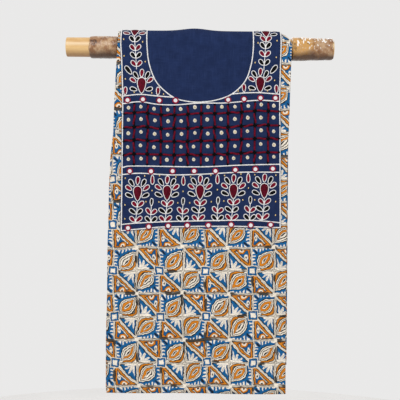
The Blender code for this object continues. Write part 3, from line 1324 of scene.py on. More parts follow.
@dataclass
class Yoke:
    """The navy yoke: a thin sheet sewn on the cloth and carried over the pole."""

    hang: Hang
    layout: YokeLayout
    thickness: float = 0.9
    solid_face: float = 2.5
    tuck: float = 0.9
    tuck_width: float = 5.0
    back_drop: float = 70.0
    flat_width: float = 330.0
    columns: int = 72
    front_rows: int = 84
    arch_rows: int = 26
    back_rows: int = 14

    def face(self, across: Array, path: Array) -> Array:
        """How far the yoke's face stands out from the middle of the cloth's outer layer.

        Args:
            across: places across.
            path: places along.

        Returns:
            The distance at each place.
        """
        left = across - self.layout.side(path, False)
        right = self.layout.side(path, True) - across
        hem = self.layout.hem_drop(across) - path
        behind = path + self.hang.arch_length(across) + self.back_drop
        inset = np.minimum(np.minimum(left, right), np.minimum(hem, behind))
        rise = np.clip(inset / self.tuck_width, 0.0, 1.0)
        return self.solid_face - self.tuck * (1.0 - rise * (2.0 - rise))

    def on(self, across: Array, path: Array, height: Array) -> Array:
        """Points standing a height off the yoke's face, in metres."""
        return self.hang.place(across, path, 2.0, self.face(across, path) + height)

    def build(self) -> Piece:
        """Returns:
            The sheet.
        """
        shares = np.linspace(0.0, 1.0, self.columns + 1)
        front = np.linspace(1.0, 0.0, self.front_rows + 1)
        arch = np.linspace(0.0, 1.0, self.arch_rows + 1)[1:]
        back = np.linspace(0.0, self.back_drop, self.back_rows + 1)[1:]
        rows = []
        for share in front:
            across = self.row_across(shares, share * self.layout.middle_drop())
            rows.append((across, share * self.layout.hem_drop(across)))
        for share in arch:
            across = self.row_across(shares, 0.0)
            rows.append((across, -share * self.hang.arch_length(across)))
        for drop in back:
            across = self.row_across(shares, -drop)
            rows.append((across, -self.hang.arch_length(across) - drop))
        across, path = np.array(rows).transpose(1, 0, 2)
        points = self.on(across, path, -self.thickness / 2.0)
        pot = MeshPot()
        pot.add_grid(points)
        piece = pot.build("navy_yoke_sheet", NavyCotton().material())
        map_flat(piece, np.stack([across, path], axis=-1).reshape(-1, 2))
        add_thickness(piece, self.thickness)
        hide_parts("yoke_panel")
        over = float(self.hang.arch_length(np.array(0.0)))
        length = self.layout.middle_drop() + over + self.back_drop
        return piece

    def row_across(self, shares: Array, reach: float) -> Array:
        """Places across at shares from the left edge to the right one, for one row."""
        left, right = (self.layout.side(np.array(reach), way) for way in (False, True))
        return left + (right - left) * shares


# ---- embroidery ----


def smooth_line(points: Sequence[Pair], steps: int = 12) -> Array:
    """A Catmull-Rom curve through a few points.

    Args:
        points: (across, path) pairs.
        steps: how many stretches for each pair.

    Returns:
        The curve's points.
    """
    knots = np.array(points, float)
    ends = np.vstack([2.0 * knots[0] - knots[1], knots, 2.0 * knots[-1] - knots[-2]])
    share = np.linspace(0.0, 1.0, steps, endpoint=False)[:, None]
    curve = []
    for a, b, c, d in zip(ends, ends[1:], ends[2:], ends[3:]):
        bend = (2 * a - 5 * b + 4 * c - d) * share**2 + (3 * b - a - 3 * c + d) * share**3
        curve.append(b + 0.5 * ((c - a) * share + bend))
    return np.vstack([*curve, knots[-1:]])


def evenly(line: Array, pitch: float) -> Array:
    """A line's points read again at an even spacing.

    Args:
        line: its (across, path) points.
        pitch: the spacing that is aimed at.

    Returns:
        The new points.
    """
    length = np.concatenate([[0.0], np.cumsum(np.hypot(*np.diff(line, axis=0).T))])
    count = max(2, round(length[-1] / pitch))
    at = np.linspace(0.0, length[-1], count + 1)
    return np.stack([np.interp(at, length, line[:, 0]), np.interp(at, length, line[:, 1])], -1)


class Seam(Enum):
    """The white lines across the yoke, each through a few given places."""

    NECK_LEFT = ((-156.0, 105.3), (-122.0, 101.7), (-86.0, 104.6), (-53.0, 106.9))
    NECK_RIGHT = ((66.0, 99.1), (92.0, 96.6), (123.0, 95.9), (163.8, 98.7))
    NECK_FOOT = (
        (-156.0, 120.8), (-122.0, 116.6), (-86.0, 121.5), (-48.0, 122.3), (0.0, 118.1),
        (52.0, 117.4), (117.0, 111.6), (163.8, 113.0),
    )
    CHEST_HEAD = ((-156.0, 250.8), (-129.0, 247.8), (0.0, 248.3), (90.0, 243.8), (165.6, 241.5))
    CHEST_FOOT = (
        (-156.0, 265.6), (-120.0, 262.6), (-59.0, 265.3), (0.0, 263.6), (84.0, 258.6),
        (166.0, 257.8),
    )
    HEM_HEAD = (
        (-156.0, 367.5), (-127.0, 364.5), (-58.0, 360.5), (0.0, 358.7), (105.0, 356.4),
        (167.0, 360.8),
    )

    def curve(self) -> Array:
        """The whole line."""
        return smooth_line(self.value)

    def path(self, across: float | Array) -> Array:
        """The line's place along, at places across."""
        line = self.curve()
        return np.interp(across, line[:, 0], line[:, 1])


@dataclass
class Thread:
    """One colour of thread, worked into joined stitches on the yoke."""

    yoke: Yoke
    colour: ThreadColour
    pot: MeshPot = field(default_factory=MeshPot)
    loop_steps: int = 8
    sides: int = 4
    stoutness: float = 0.27
    loop_middle: float = 0.60
    loop_reach: float = 0.62
    loop_waist: float = 0.80
    loop_low: float = 0.55
    loop_climb: float = 0.70
    satin_steps: int = 3
    satin_columns: int = 7
    satin_groove: float = 0.22
    satin_slant: float = 0.6
    satin_sink: float = 0.05
    ring_steps: int = 4
    ring_columns: int = 6
    ring_groove: float = 0.13
    ring_edge: float = 0.10
    ring_point_turn: float = 0.25
    ring_sink: float = 0.04

    def link(self, length: float, width: float) -> Array:
        """One chain stitch as (along, side, height) points: a loop of thread.

        Args:
            length: the stitch's pitch.
            width: the stitch's whole width.

        Returns:
            The loop's points, ring by ring.
        """
        gauge = width * self.stoutness
        turn = np.linspace(0.0, FULL_TURN, self.loop_steps, endpoint=False)
        along = length * (self.loop_middle - self.loop_reach * np.cos(turn))
        waist = self.loop_waist + (1.0 - self.loop_waist) * np.sin(turn / 2.0)
        side = (width / 2.0 - gauge) * np.sin(turn) * waist
        height = gauge * (self.loop_low + self.loop_climb * (1.0 - np.cos(turn)) / 2.0)
        middle = np.stack([along, side, height], axis=-1)
        ahead = np.roll(middle, -1, axis=0) - np.roll(middle, 1, axis=0)
        ahead /= np.linalg.norm(ahead, axis=1, keepdims=True)
        up = np.array([0.0, 0.0, 1.0])
        out = np.cross(ahead, up)
        out /= np.linalg.norm(out, axis=1, keepdims=True)
        around = np.linspace(0.0, FULL_TURN, self.sides, endpoint=False)
        ring = out[:, None] * np.cos(around)[None, :, None] + up * np.sin(around)[None, :, None]
        return (middle[:, None] + gauge * ring).reshape(-1, 3)

    def chain(self, line: Array, width: float, pitch: float, lift: float = 0.0) -> None:
        """Works chain stitch along a line.

        Args:
            line: (across, path) points.
            width: the chain's width.
            pitch: length of a stitch.
            lift: how far above the yoke's face it lies.
        """
        spots = evenly(line, pitch)
        step = np.diff(spots, axis=0)
        size = np.hypot(*step.T)[:, None]
        ahead = step / size
        side = np.stack([-ahead[:, 1], ahead[:, 0]], axis=-1)
        link = self.link(float(size.mean()), width)
        flat = (
            spots[:-1, None]
            + ahead[:, None] * link[None, :, 0:1]
            + side[:, None] * link[None, :, 1:2]
        )
        points = self.yoke.on(flat[..., 0], flat[..., 1], link[None, :, 2] + lift)
        self.pot.add(points, grid_faces(self.loop_steps, self.sides, True, True))

    def pad(self, drop: Teardrop, rise: float, threads: int) -> None:
        """Fills a teardrop with satin stitch: a low dome with thread ridges.

        Args:
            drop: the shape that is filled.
            rise: the dome's height.
            threads: how many ridges it has.
        """
        share = np.linspace(0.0, 1.0, threads * self.satin_steps + 1)[:, None]
        side = np.linspace(-1.0, 1.0, self.satin_columns)[None, :]
        flat = drop.inside(share, side)
        dome = np.sqrt(np.maximum(0.0, 1.0 - side**2)) * np.sqrt(np.sin(math.pi * share) + 1e-6)
        comb = np.abs(np.sin(math.pi * (share * threads + side * self.satin_slant)))
        ridge = 1.0 - self.satin_groove + self.satin_groove * comb
        height = rise * dome * ridge - self.satin_sink
        points = self.yoke.on(flat[..., 0], flat[..., 1], height)
        self.pot.add_grid(points)

    def ring(
        self, centre: Pair, inner: float, outer: float, rise: float, stitches: int,
        point: float = 0.0,
    ) -> None:
        """Works a ring of radial stitches round a centre.

        Args:
            centre: (across, path) of the ring's centre.
            inner: inner radius.
            outer: outer radius.
            rise: the ring's height.
            stitches: how many stitches go round.
            point: how far the ring is drawn out upward, as a share of its radius.
        """
        turn = np.linspace(0.0, FULL_TURN, stitches * self.ring_steps, endpoint=False)[:, None]
        around = np.linspace(0.0, math.pi, self.ring_columns)[None, :]
        middle, half = (inner + outer) / 2.0, (outer - inner) / 2.0
        comb = np.cos(turn * stitches)
        radius = middle + half * np.cos(around) * (1.0 + self.ring_edge * comb)
        upward = np.maximum(0.0, -np.sin(turn + self.ring_point_turn))
        radius = radius * (1.0 + point * upward**8)
        height = rise * np.sin(around) * (1.0 + self.ring_groove * comb) - self.ring_sink
        points = self.yoke.on(
            centre[0] + radius * np.cos(turn), centre[1] + radius * np.sin(turn), height
        )
        self.pot.add_grid(points, True)

    def build(self, name: str) -> Piece:
        """Makes the thread's piece, in its material slot.

        Args:
            name: the piece's name.

        Returns:
            The piece.
        """
        piece = self.pot.build(name, ThreadFinish(self.colour).material())
        return piece


@dataclass(frozen=True)
class Teardrop:
    """A petal, leaf or drop on the flat yoke: pointed at its base, round at its tip."""

    base: Pair
    tip: Pair
    width: float
    taper: float = 0.45
    roundness: float = 3.2
    outline_points: int = 16
    base_gap: float = 1.6
    tip_gap: float = 0.6
    side_gap: float = 0.7

    def spread(self, share: Array) -> Array:
        """Half the width at a share of the length."""
        full = self.width / 2.0 * (1.19 + 0.5 * self.taper)
        return full * share**self.taper * np.sqrt(np.maximum(0.0, 1.0 - share**self.roundness))

    def at(self, share: Array, side: Array) -> Array:
        """Points of the shape.

        Args:
            share: share of the length, from the base.
            side: distance to the side.

        Returns:
            (across, path) of each.
        """
        base, tip = np.array(self.base), np.array(self.tip)
        ahead = tip - base
        out = np.array([-ahead[1], ahead[0]]) / np.hypot(*ahead)
        return base + ahead * share[..., None] + out * side[..., None]

    def outline(self) -> Array:
        """The outline, from the base round the tip and back.

        Returns:
            Its (across, path) points.
        """
        share = np.sin(np.linspace(0.0, math.pi / 2.0, self.outline_points))
        there = self.at(share, self.spread(share))
        back = self.at(share[::-1], -self.spread(share[::-1]))
        return np.vstack([there, back[1:]])

    def inside(self, share: Array, side: Array) -> Array:
        """Points of the filled part, which runs under the outline's thread.

        Args:
            share: share of the filled part's length, from the base.
            side: share of its half width, -1 to 1.

        Returns:
            (across, path) of each.
        """
        length = math.dist(self.base, self.tip)
        start, end = min(0.3, self.base_gap / length), 1.0 - self.tip_gap / length
        along = start + (end - start) * share
        fill = Teardrop(self.base, self.tip, self.width - self.side_gap, self.taper)
        along, side = np.broadcast_arrays(along, side)
        narrow = np.sqrt(np.clip(share * 6.0, 0.0, 1.0))
        return self.at(along, fill.spread(along) * side * narrow)


class Fill(Enum):
    """What colour fills a petal."""

    RED = ThreadColour.MAROON
    BLACK = ThreadColour.BLACK
    DEEP = ThreadColour.WINE

    def other(self) -> Fill:
        """The other colour."""
        return Fill.BLACK if self is Fill.RED else Fill.RED


@dataclass
class Threads:
    """All the thread used on the yoke's motifs."""

    white: Thread
    red: Thread
    black: Thread
    wine: Thread
    outline_width: float = 1.7
    outline_pitch: float = 2.15
    leaf_width: float = 8.2
    leaf_start: float = 0.9
    satin_gauge: float = 1.5
    small_rise: float = 1.25
    big_rise: float = 1.5
    big_width: float = 12.0

    def petal(self, drop: Teardrop, fill: Fill) -> None:
        """Outlines a teardrop in white chain and fills it.

        Args:
            drop: its shape.
            fill: its filling's colour.
        """
        self.white.chain(drop.outline(), self.outline_width, self.outline_pitch)
        thread = {Fill.RED: self.red, Fill.BLACK: self.black, Fill.DEEP: self.wine}[fill]
        threads = max(5, round(math.dist(drop.base, drop.tip) / self.satin_gauge))
        rise = self.small_rise if drop.width < self.big_width else self.big_rise
        thread.pad(drop, rise, threads)

    def stem(self, line: Sequence[Pair]) -> None:
        """Works a white stem through a few points."""
        self.white.chain(smooth_line(line), self.outline_width, self.outline_pitch)

    def leaves(self, x: float, path: float, fill: Fill, tips: Sequence[Pair]) -> None:
        """Leaves that rise from a stem.

        Args:
            x: the stem's place across.
            path: where the leaves' bases meet it.
            fill: the leaves' colour.
            tips: how far each tip lies to the right and above.
        """
        for right, above in tips:
            base = (x + math.copysign(self.leaf_start, right), path)
            self.petal(Teardrop(base, (x + right, path - above), self.leaf_width), fill)


@dataclass(frozen=True)
class Petal:
    """A petal's base and tip from the middle of its flower's drop, right and down."""

    base: Pair
    tip: Pair
    fill: Fill


@dataclass(frozen=True)
class Leaves:
    """A pair of leaves: how far below a drop's middle it starts, and its two tips."""

    below: float
    fill: Fill
    tips: tuple[Pair, Pair]


@dataclass
class Flower:
    """A flower: a big drop, seven petals, and below it a stem with leaves."""

    x: float
    centre: float
    scale: float = 1.0
    swapped: bool = False
    drop_half: float = 15.6
    drop_width: float = 17.4
    drop_taper: float = 0.62
    petal_width: float = 8.3
    droop: float = 0.0
    lean: float = -4.3
    stem_lead: float = 17.0
    stem_length: float = 43.0
    petals: tuple[Petal, ...] = (
        Petal((-0.6, -18.0), (1.0, -35.0), Fill.RED),
        Petal((8.4, -14.2), (15.5, -29.8), Fill.BLACK),
        Petal((-7.8, -14.8), (-17.0, -28.8), Fill.BLACK),
        Petal((11.4, -6.4), (23.6, -17.0), Fill.RED),
        Petal((-12.0, -7.0), (-24.2, -15.8), Fill.RED),
        Petal((8.8, 7.2), (23.4, 0.2), Fill.BLACK),
        Petal((-9.6, 7.3), (-24.6, 0.3), Fill.BLACK),
    )
    pairs: tuple[Leaves, ...] = (
        Leaves(27.0, Fill.RED, ((-10.1, 10.6), (12.8, 11.0))),
        Leaves(41.5, Fill.BLACK, ((-14.6, 9.8), (11.4, 9.8))),
        Leaves(58.0, Fill.RED, ((-10.9, 10.6), (13.2, 11.0))),
    )

    def put(self, spot: Pair) -> Pair:
        """A place given from the drop's middle, on the yoke."""
        return self.x + spot[0] * self.scale, self.centre + spot[1] * self.scale

    def head(self, threads: Threads) -> None:
        """Works the drop and its petals.

        Args:
            threads: the yoke's threads.
        """
        base, tip = self.put((0.0, self.drop_half)), self.put((0.0, -self.drop_half))
        drop = Teardrop(base, tip, self.drop_width * self.scale, self.drop_taper)
        threads.petal(drop, Fill.DEEP)
        for petal in self.petals:
            fill = petal.fill.other() if self.swapped else petal.fill
            fall = self.droop if petal.base[1] > 0.0 else 0.0
            base = self.put((petal.base[0], petal.base[1] + fall * 0.5))
            tip = self.put((petal.tip[0], petal.tip[1] + fall))
            threads.petal(Teardrop(base, tip, self.petal_width * self.scale), fill)

    def build(self, threads: Threads, foot: float) -> None:
        """Works the whole flower, with its stem and leaves.

        Args:
            threads: the yoke's threads.
            foot: where the stem ends.
        """
        self.head(threads)
        top = self.centre + self.drop_half + 1.0
        bend = self.x + self.lean * 0.3
        threads.stem([(self.x, top), (bend, (top + foot) / 2.0), (self.x + self.lean, foot)])
        for pair in self.pairs:
            share = (pair.below - self.stem_lead) / self.stem_length
            x = self.x + self.lean * share**1.6
            threads.leaves(x, self.centre + pair.below, pair.fill, pair.tips)


@dataclass
class FlowerBand:
    """The row of flowers between the chest band and the hem band."""

    flowers: tuple[float, ...] = (-124.6, -64.3, 3.0, 71.2, 134.2)
    hanging: tuple[float, ...] = (-94.7, -31.5, 38.1, 101.1)
    plants: tuple[float, ...] = (-96.5, -32.2, 39.2, 105.1)
    level: float = 300.4
    slope: float = -0.0305
    bead_spots: tuple[Pair, ...] = (
        (-14.8, 4.4), (14.4, 4.4), (0.7, 33.2), (-11.2, 57.4), (12.6, 57.0)
    )
    edge_beads: tuple[tuple[float, Triple], ...] = (
        (-150.0, (8.0, 62.5, 91.0)), (157.3, (6.0, 60.0, 87.5))
    )
    seed: int = 11

    def centre(self, across: float) -> float:
        """The place along of the flowers' drops."""
        return self.level + self.slope * across

    def build(self, threads: Threads, beads: Beads) -> None:
        """Works the flowers, the hanging drops, the small plants and the beads.

        Args:
            threads: the yoke's threads.
            beads: its beads.
        """
        for x in self.flowers:
            Flower(x, self.centre(x)).build(threads, float(Seam.HEM_HEAD.path(x)) - 1.0)
        draw = np.random.default_rng(self.seed)
        for x, plant in zip(self.hanging, self.plants):
            top = float(Seam.CHEST_FOOT.path(x))
            threads.petal(Teardrop((x, top + 2.0), (x + 0.3, top + 21.4), 7.0), Fill.RED)
            self.plant(plant, threads)
            for dx, below in self.bead_spots:
                dx += draw.uniform(-1.4, 1.4)
                beads.bead(x + dx, top + below + draw.uniform(-0.9, 0.9))
        for x, places in self.edge_beads:
            for below in places:
                beads.bead(x, float(Seam.CHEST_FOOT.path(x)) + below)

    def plant(self, x: float, threads: Threads) -> None:
        """Works the small plant between two flowers.

        Args:
            x: its place across.
            threads: the yoke's threads.
        """
        centre = self.centre(x)
        foot = float(Seam.HEM_HEAD.path(x)) - 1.0
        bud = Teardrop((x + 0.4, centre + 25.6), (x + 0.9, centre + 10.2), 6.2)
        threads.petal(bud, Fill.BLACK)
        threads.stem([(x + 0.4, centre + 26.0), (x - 0.6, centre + 42.0), (x - 0.4, foot)])
        threads.leaves(x - 0.5, centre + 43.0, Fill.RED, ((-9.0, 12.8), (11.4, 9.8)))
        threads.leaves(x - 0.4, centre + 59.0, Fill.BLACK, ((-11.0, 11.4), (11.8, 10.6)))


@dataclass
class ShoulderStrip:
    """The strip beside the neck: a stem from the fold, its leaves, and a flower."""

    side: float
    stem_top: float
    stem_foot: float
    flower_x: float
    flower_centre: float
    first: Fill
    standing: Pair
    rows: tuple[float, float, float, float]
    stem_start: float = -17.0
    stem_middle: float = 14.0
    stem_end: float = 50.0
    scale: float = 0.96
    top_rise: float = 15.6
    top_drop: Pair = (16.4, 18.2)
    top_droop: float = 6.0
    low_drop: Pair = (17.2, 18.6)
    low_droop: float = 5.0
    leaf_tips: tuple[Pair, Pair] = ((-10.2, 11.2), (10.2, 11.2))
    outer_base: Pair = (20.8, 23.0)
    outer_tip: Pair = (33.8, 39.5)
    outer_width: float = 8.8
    standing_heights: Pair = (1.6, 18.6)
    standing_lean: float = 0.8
    standing_width: float = 7.2
    bead_spots: tuple[Pair, ...] = (
        (21.7, -9.5), (-17.1, -5.0), (20.4, 23.4), (-22.8, 34.6), (17.4, 70.3)
    )
    line_beads: Triple = (15.0, -21.0, -45.0)
    line_gap: float = 5.0

    def build(self, threads: Threads, beads: Beads) -> None:
        """Works the strip from the fold over the pole down to the neck band.

        Args:
            threads: the yoke's threads.
            beads: its beads.
        """
        swapped = self.first is Fill.BLACK
        centre = self.stem_start - self.top_rise
        top = Flower(self.stem_top, centre, self.scale, swapped, *self.top_drop)
        top.droop = self.top_droop
        top.head(threads)
        bend = ((self.stem_top + self.stem_foot) / 2.0, self.stem_middle)
        threads.stem([(self.stem_top, self.stem_start), bend, (self.stem_foot, self.stem_end)])
        fill = self.first
        for path in self.rows:
            share = (path - self.stem_start) / (self.stem_end - self.stem_start)
            x = self.stem_top + (self.stem_foot - self.stem_top) * share
            threads.leaves(x, path, fill, self.leaf_tips)
            fill = fill.other()
        centre = self.flower_centre
        low = Flower(self.flower_x, centre, self.scale, False, *self.low_drop)
        low.droop = self.low_droop
        low.head(threads)
        base, tip = (
            (self.flower_x + self.side * out, centre - above)
            for out, above in (self.outer_base, self.outer_tip)
        )
        threads.petal(Teardrop(base, tip, self.outer_width), Fill.BLACK)
        low, high = self.standing_heights
        for x in self.standing:
            line = self.line(x)
            tip = (x - self.side * self.standing_lean, line - high)
            threads.petal(Teardrop((x, line - low), tip, self.standing_width), Fill.RED)
        for dx, path in self.bead_spots:
            beads.bead(self.stem_top + self.side * dx, path)
        for dx in self.line_beads:
            x = self.flower_x + self.side * dx
            beads.bead(x, self.line(x) - self.line_gap)

    def line(self, x: float) -> float:
        """The neck band's upper line beside the neck."""
        return float((Seam.NECK_LEFT if self.side < 0.0 else Seam.NECK_RIGHT).path(x))


@dataclass
class Beads:
    """Gilt beads, and knots of cream thread round a gilt centre."""

    yoke: Yoke
    cream: Thread
    pot: MeshPot = field(default_factory=MeshPot)
    half_width: float = 1.4
    half_height: float = 1.95
    sides: int = 12
    rows: int = 7
    ring_rise: float = 1.5
    ring_inner: float = 0.9
    ring_stitches: int = 8
    ring_point: float = 0.22
    centre_half: float = 1.6
    centre_height: float = 1.15

    def ball(self, centre: Pair, across: float, along: float, height: float) -> None:
        """A small flattened ball on the yoke.

        Args:
            centre: its (across, path).
            across: half its width.
            along: half its length.
            height: how far its middle stands off the yoke.
        """
        turn = np.linspace(0.0, FULL_TURN, self.sides, endpoint=False)[:, None]
        pole = math.pi / 2.0 - 0.02
        rise = np.linspace(-pole, pole, self.rows)[None, :]
        flat = np.cos(rise)
        points = self.yoke.on(
            centre[0] + across * flat * np.cos(turn),
            centre[1] + along * flat * np.sin(turn),
            height + across * 0.8 * np.sin(rise),
        )
        self.pot.add_grid(points, True)

    def bead(self, x: float, path: float) -> None:
        """A single sewn bead."""
        self.ball((x, path), self.half_width, self.half_height, self.half_width * 0.7)

    def knot(self, x: float, path: float, size: float) -> None:
        """A ring of cream thread round a gilt centre.

        Args:
            x: its place across.
            path: its place along.
            size: its outer diameter.
        """
        ring = (self.ring_inner, size / 2.0, self.ring_rise, self.ring_stitches, self.ring_point)
        self.cream.ring((x, path), *ring)
        self.ball((x, path), self.centre_half, self.centre_half, self.centre_height)

    def build(self) -> None:
        """Makes the beads' and the knots' pieces."""
        self.pot.build("gilt_beads", GoldBead().material())
        self.cream.build("cream_knots")


@dataclass
class GridPanel:
    """The couched grid with a knot in each square, between neck and chest bands."""

    yoke: Yoke
    first_line: float = -133.0
    line_gap: float = 27.37
    lines: int = 11
    rows: tuple[float, ...] = (0.162, 0.386, 0.593, 0.811)
    knot_rows: tuple[float, ...] = (0.070, 0.264, 0.476, 0.688, 0.884)
    end_stretch: float = 0.86
    ends: Pair = (0.015, 0.985)
    run_points: int = 17
    black_width: float = 4.4
    black_pitch: float = 3.2
    black_lift: float = -0.35
    maroon_width: float = 3.9
    maroon_pitch: float = 3.1
    maroon_lift: float = 0.95
    maroon_points: tuple[int, int] = (3, 14)
    sway: float = 2.0
    cross: Pair = (-4.6, 2.6)
    cross_width: float = 3.8
    cross_pitch: float = 3.0
    cross_lifts: Pair = (0.9, 1.3)
    knot_size: float = 7.4
    knot_change: Pair = (-0.5, 0.6)
    knot_stray: float = 1.4
    seed: int = 7

    def path(self, across: float | Array, share: float | Array) -> Array:
        """The place along at a share of the panel's height."""
        top, bottom = Seam.NECK_FOOT.path(across), Seam.CHEST_HEAD.path(across)
        return top + (bottom - top) * share

    def thread_run(
        self, maroon: Thread, black: Thread, start: Pair, end: Pair, sway: float
    ) -> None:
        """One stretch between two crossings: black chain and wavy maroon over it.

        Args:
            maroon: the maroon thread.
            black: the black thread under it.
            start: (across, share of the panel) where it starts.
            end: the same where it ends.
            sway: how far the maroon wanders to the side.
        """
        share = np.linspace(0.0, 1.0, self.run_points)
        x = start[0] + (end[0] - start[0]) * share
        path = self.path(x, start[1] + (end[1] - start[1]) * share)
        upright = start[0] == end[0]
        straight = np.stack([x, path], axis=-1)
        black.chain(straight, self.black_width, self.black_pitch, self.black_lift)
        bend = sway * np.sin(FULL_TURN * share)
        line = np.stack([x + bend, path] if upright else [x, path + bend], axis=-1)
        line = line[slice(*self.maroon_points)]
        maroon.chain(line, self.maroon_width, self.maroon_pitch, self.maroon_lift)

    def build(self, maroon: Thread, black: Thread, beads: Beads) -> None:
        """Works the grid's lines, its crossings and its knots.

        Args:
            maroon: the maroon thread.
            black: the black thread.
            beads: the yoke's beads, for the knots.
        """
        draw = np.random.default_rng(self.seed)
        columns = [self.first_line + self.line_gap * n for n in range(self.lines)]
        reach = self.line_gap * self.end_stretch
        stops = [columns[0] - reach, *columns, columns[-1] + reach]
        levels = [self.ends[0], *self.rows, self.ends[1]]
        runs = [
            ((x, top), (x, bottom)) for x in columns for top, bottom in zip(levels, levels[1:])
        ]
        runs += [
            ((start, row), (end, row)) for row in self.rows for start, end in zip(stops, stops[1:])
        ]
        for start, end in runs:
            self.thread_run(maroon, black, start, end, draw.uniform(-self.sway, self.sway))
        for x in columns:
            for row in self.rows:
                self.crossing(black, x, row)
        stray = self.knot_stray
        for start, end in zip(stops, stops[1:]):
            for row in self.knot_rows:
                x = (start + end) / 2.0 + draw.uniform(-stray, stray)
                path = float(self.path(x, row)) + draw.uniform(-stray, stray)
                beads.knot(x, path, self.knot_size + draw.uniform(*self.knot_change))

    def crossing(self, black: Thread, x: float, row: float) -> None:
        """A black crossing of two short chains.

        Args:
            black: the black thread.
            x: its place across.
            row: its share of the panel's height.
        """
        path = float(self.path(x, row))
        ends = np.array(self.cross)[:, None]
        for way, lift in zip(((1.0, 0.0), (0.0, 1.0)), self.cross_lifts):
            line = np.array([x, path]) + ends * np.array(way)
            black.chain(line, self.cross_width, self.cross_pitch, lift)


@dataclass
class Lines:
    """The yoke's white chain lines: its edges, its neckline and its bands."""

    yoke: Yoke
    white: Thread
    width: float = 2.6
    pitch: float = 2.5
    edge_inset: float = 2.0
    hem_level: float = 373.0
    side_at: float = -150.0
    steps: int = 60
    neck_ends: Pair = (-109.6, 109.4)
    neck_bend: float = -40.0
    neck: tuple[Pair, ...] = (
        (-107.4, 12.4), (-102.9, 40.9), (-92.8, 68.1), (-79.6, 86.3), (-53.4, 106.9),
        (-27.5, 114.4), (1.1, 116.1), (33.7, 111.7), (66.0, 99.1), (91.7, 74.2), (103.2, 45.3),
        (108.4, 12.8),
    )

    def work(self, line: Array) -> None:
        """Works one line of chain."""
        self.white.chain(line, self.width, self.pitch)

    def build(self) -> None:
        """Works every line."""
        layout = self.yoke.layout
        arch = float(self.yoke.hang.arch_length(np.array(self.side_at)))
        back = -arch - self.yoke.back_drop + self.edge_inset
        corners = []
        for right, inset in ((False, self.edge_inset), (True, -self.edge_inset)):
            corner = layout.side(np.array(self.hem_level), right)
            corners.append(float(corner) + inset)
            hem = layout.hem_drop(corner) - self.edge_inset
            path = np.linspace(hem, back, self.steps)
            reach = np.where(path < -arch, path + arch, np.maximum(path, 0.0))
            self.work(np.stack([layout.side(reach, right) + inset, path], axis=-1))
        across = np.linspace(*corners, self.steps)
        self.work(np.stack([across, layout.hem_drop(across) - self.edge_inset], axis=-1))
        self.work(np.stack([across, np.full(across.shape, back)], axis=-1))
        for seam in Seam:
            self.work(seam.curve())
        left, right = self.neck_ends
        up = [(left, back), (left, self.neck_bend)]
        down = [(right, self.neck_bend), (right, back)]
        self.work(smooth_line([*up, *self.neck, *down]))


@dataclass
class MirrorRings:
    """Crimson rings of thread that hold the mirrors."""

    thread: Thread
    centre_x: float
    inner: float = 3.6
    outer: float = 6.8
    rise: float = 2.4
    stitches: int = 22

    def build(self, nodes: dict[str, Piece]) -> None:
        """Works a ring at each mirror's own place and finishes the mirrors.

        Args:
            nodes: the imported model's nodes.
        """
        silver = MirrorGlass().material()
        for name in sorted(node for node in nodes if node.startswith("mirror_")):
            low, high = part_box(name)
            middle = (low + high) / 2.0 / MM
            spot = (middle.x - self.centre_x, -middle.z)
            self.thread.ring(spot, self.inner, self.outer, self.rise, self.stitches)
            for slot in nodes[name].material_slots:
                slot.material = silver
            LOG.info("%s: silvered", name)


# ---- pole ----


@dataclass
class BambooCulm:
    """The bamboo pole: an uneven culm, cut off at both ends, with a hollow core."""

    length: float
    radius: float = 20.1
    core: float = 13.6
    hollow: float = 26.0
    rim: float = 0.6
    sides: int = 96
    rows: int = 70

    def profile(self) -> Array:
        """The culm's section, from one hollow's floor to the other's.

        Returns:
            (along, radius) points.
        """
        end = [
            (self.hollow, 0.05),
            (self.hollow, self.core * 0.97),
            (self.hollow - 0.4, self.core),
            (0.9, self.core),
            (0.25, self.core + 0.15),
            (0.0, self.core + 0.5),
            (0.0, self.radius - self.rim - 0.3),
            (0.15, self.radius - self.rim),
            (self.rim, self.radius - 0.1),
        ]
        outer = [(along, self.radius) for along in np.linspace(1.6, self.length - 1.6, self.rows)]
        far = [(self.length - along, radius) for along, radius in reversed(end)]
        return np.array(end + outer + far)

    def build(self) -> Piece:
        """Builds the culm.

        Returns:
            The piece.
        """
        along, radius = self.profile().T[:, :, None]
        turn = np.linspace(0.0, FULL_TURN, self.sides, endpoint=False)[None, :]
        oval = 0.10 * np.cos(2.0 * turn + along / 160.0) + 0.07 * np.cos(5.0 * turn - along / 90.0)
        wide = radius + oval * (radius > self.core * 1.1)
        sides = (along, wide * np.cos(turn), wide * np.sin(turn))
        points = np.stack(np.broadcast_arrays(*sides), axis=-1)
        pot = MeshPot()
        pot.add_grid(points * MM, False, True)
        piece = pot.build("bamboo_culm", Bamboo().material())
        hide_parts("bamboo_pole")
        return piece


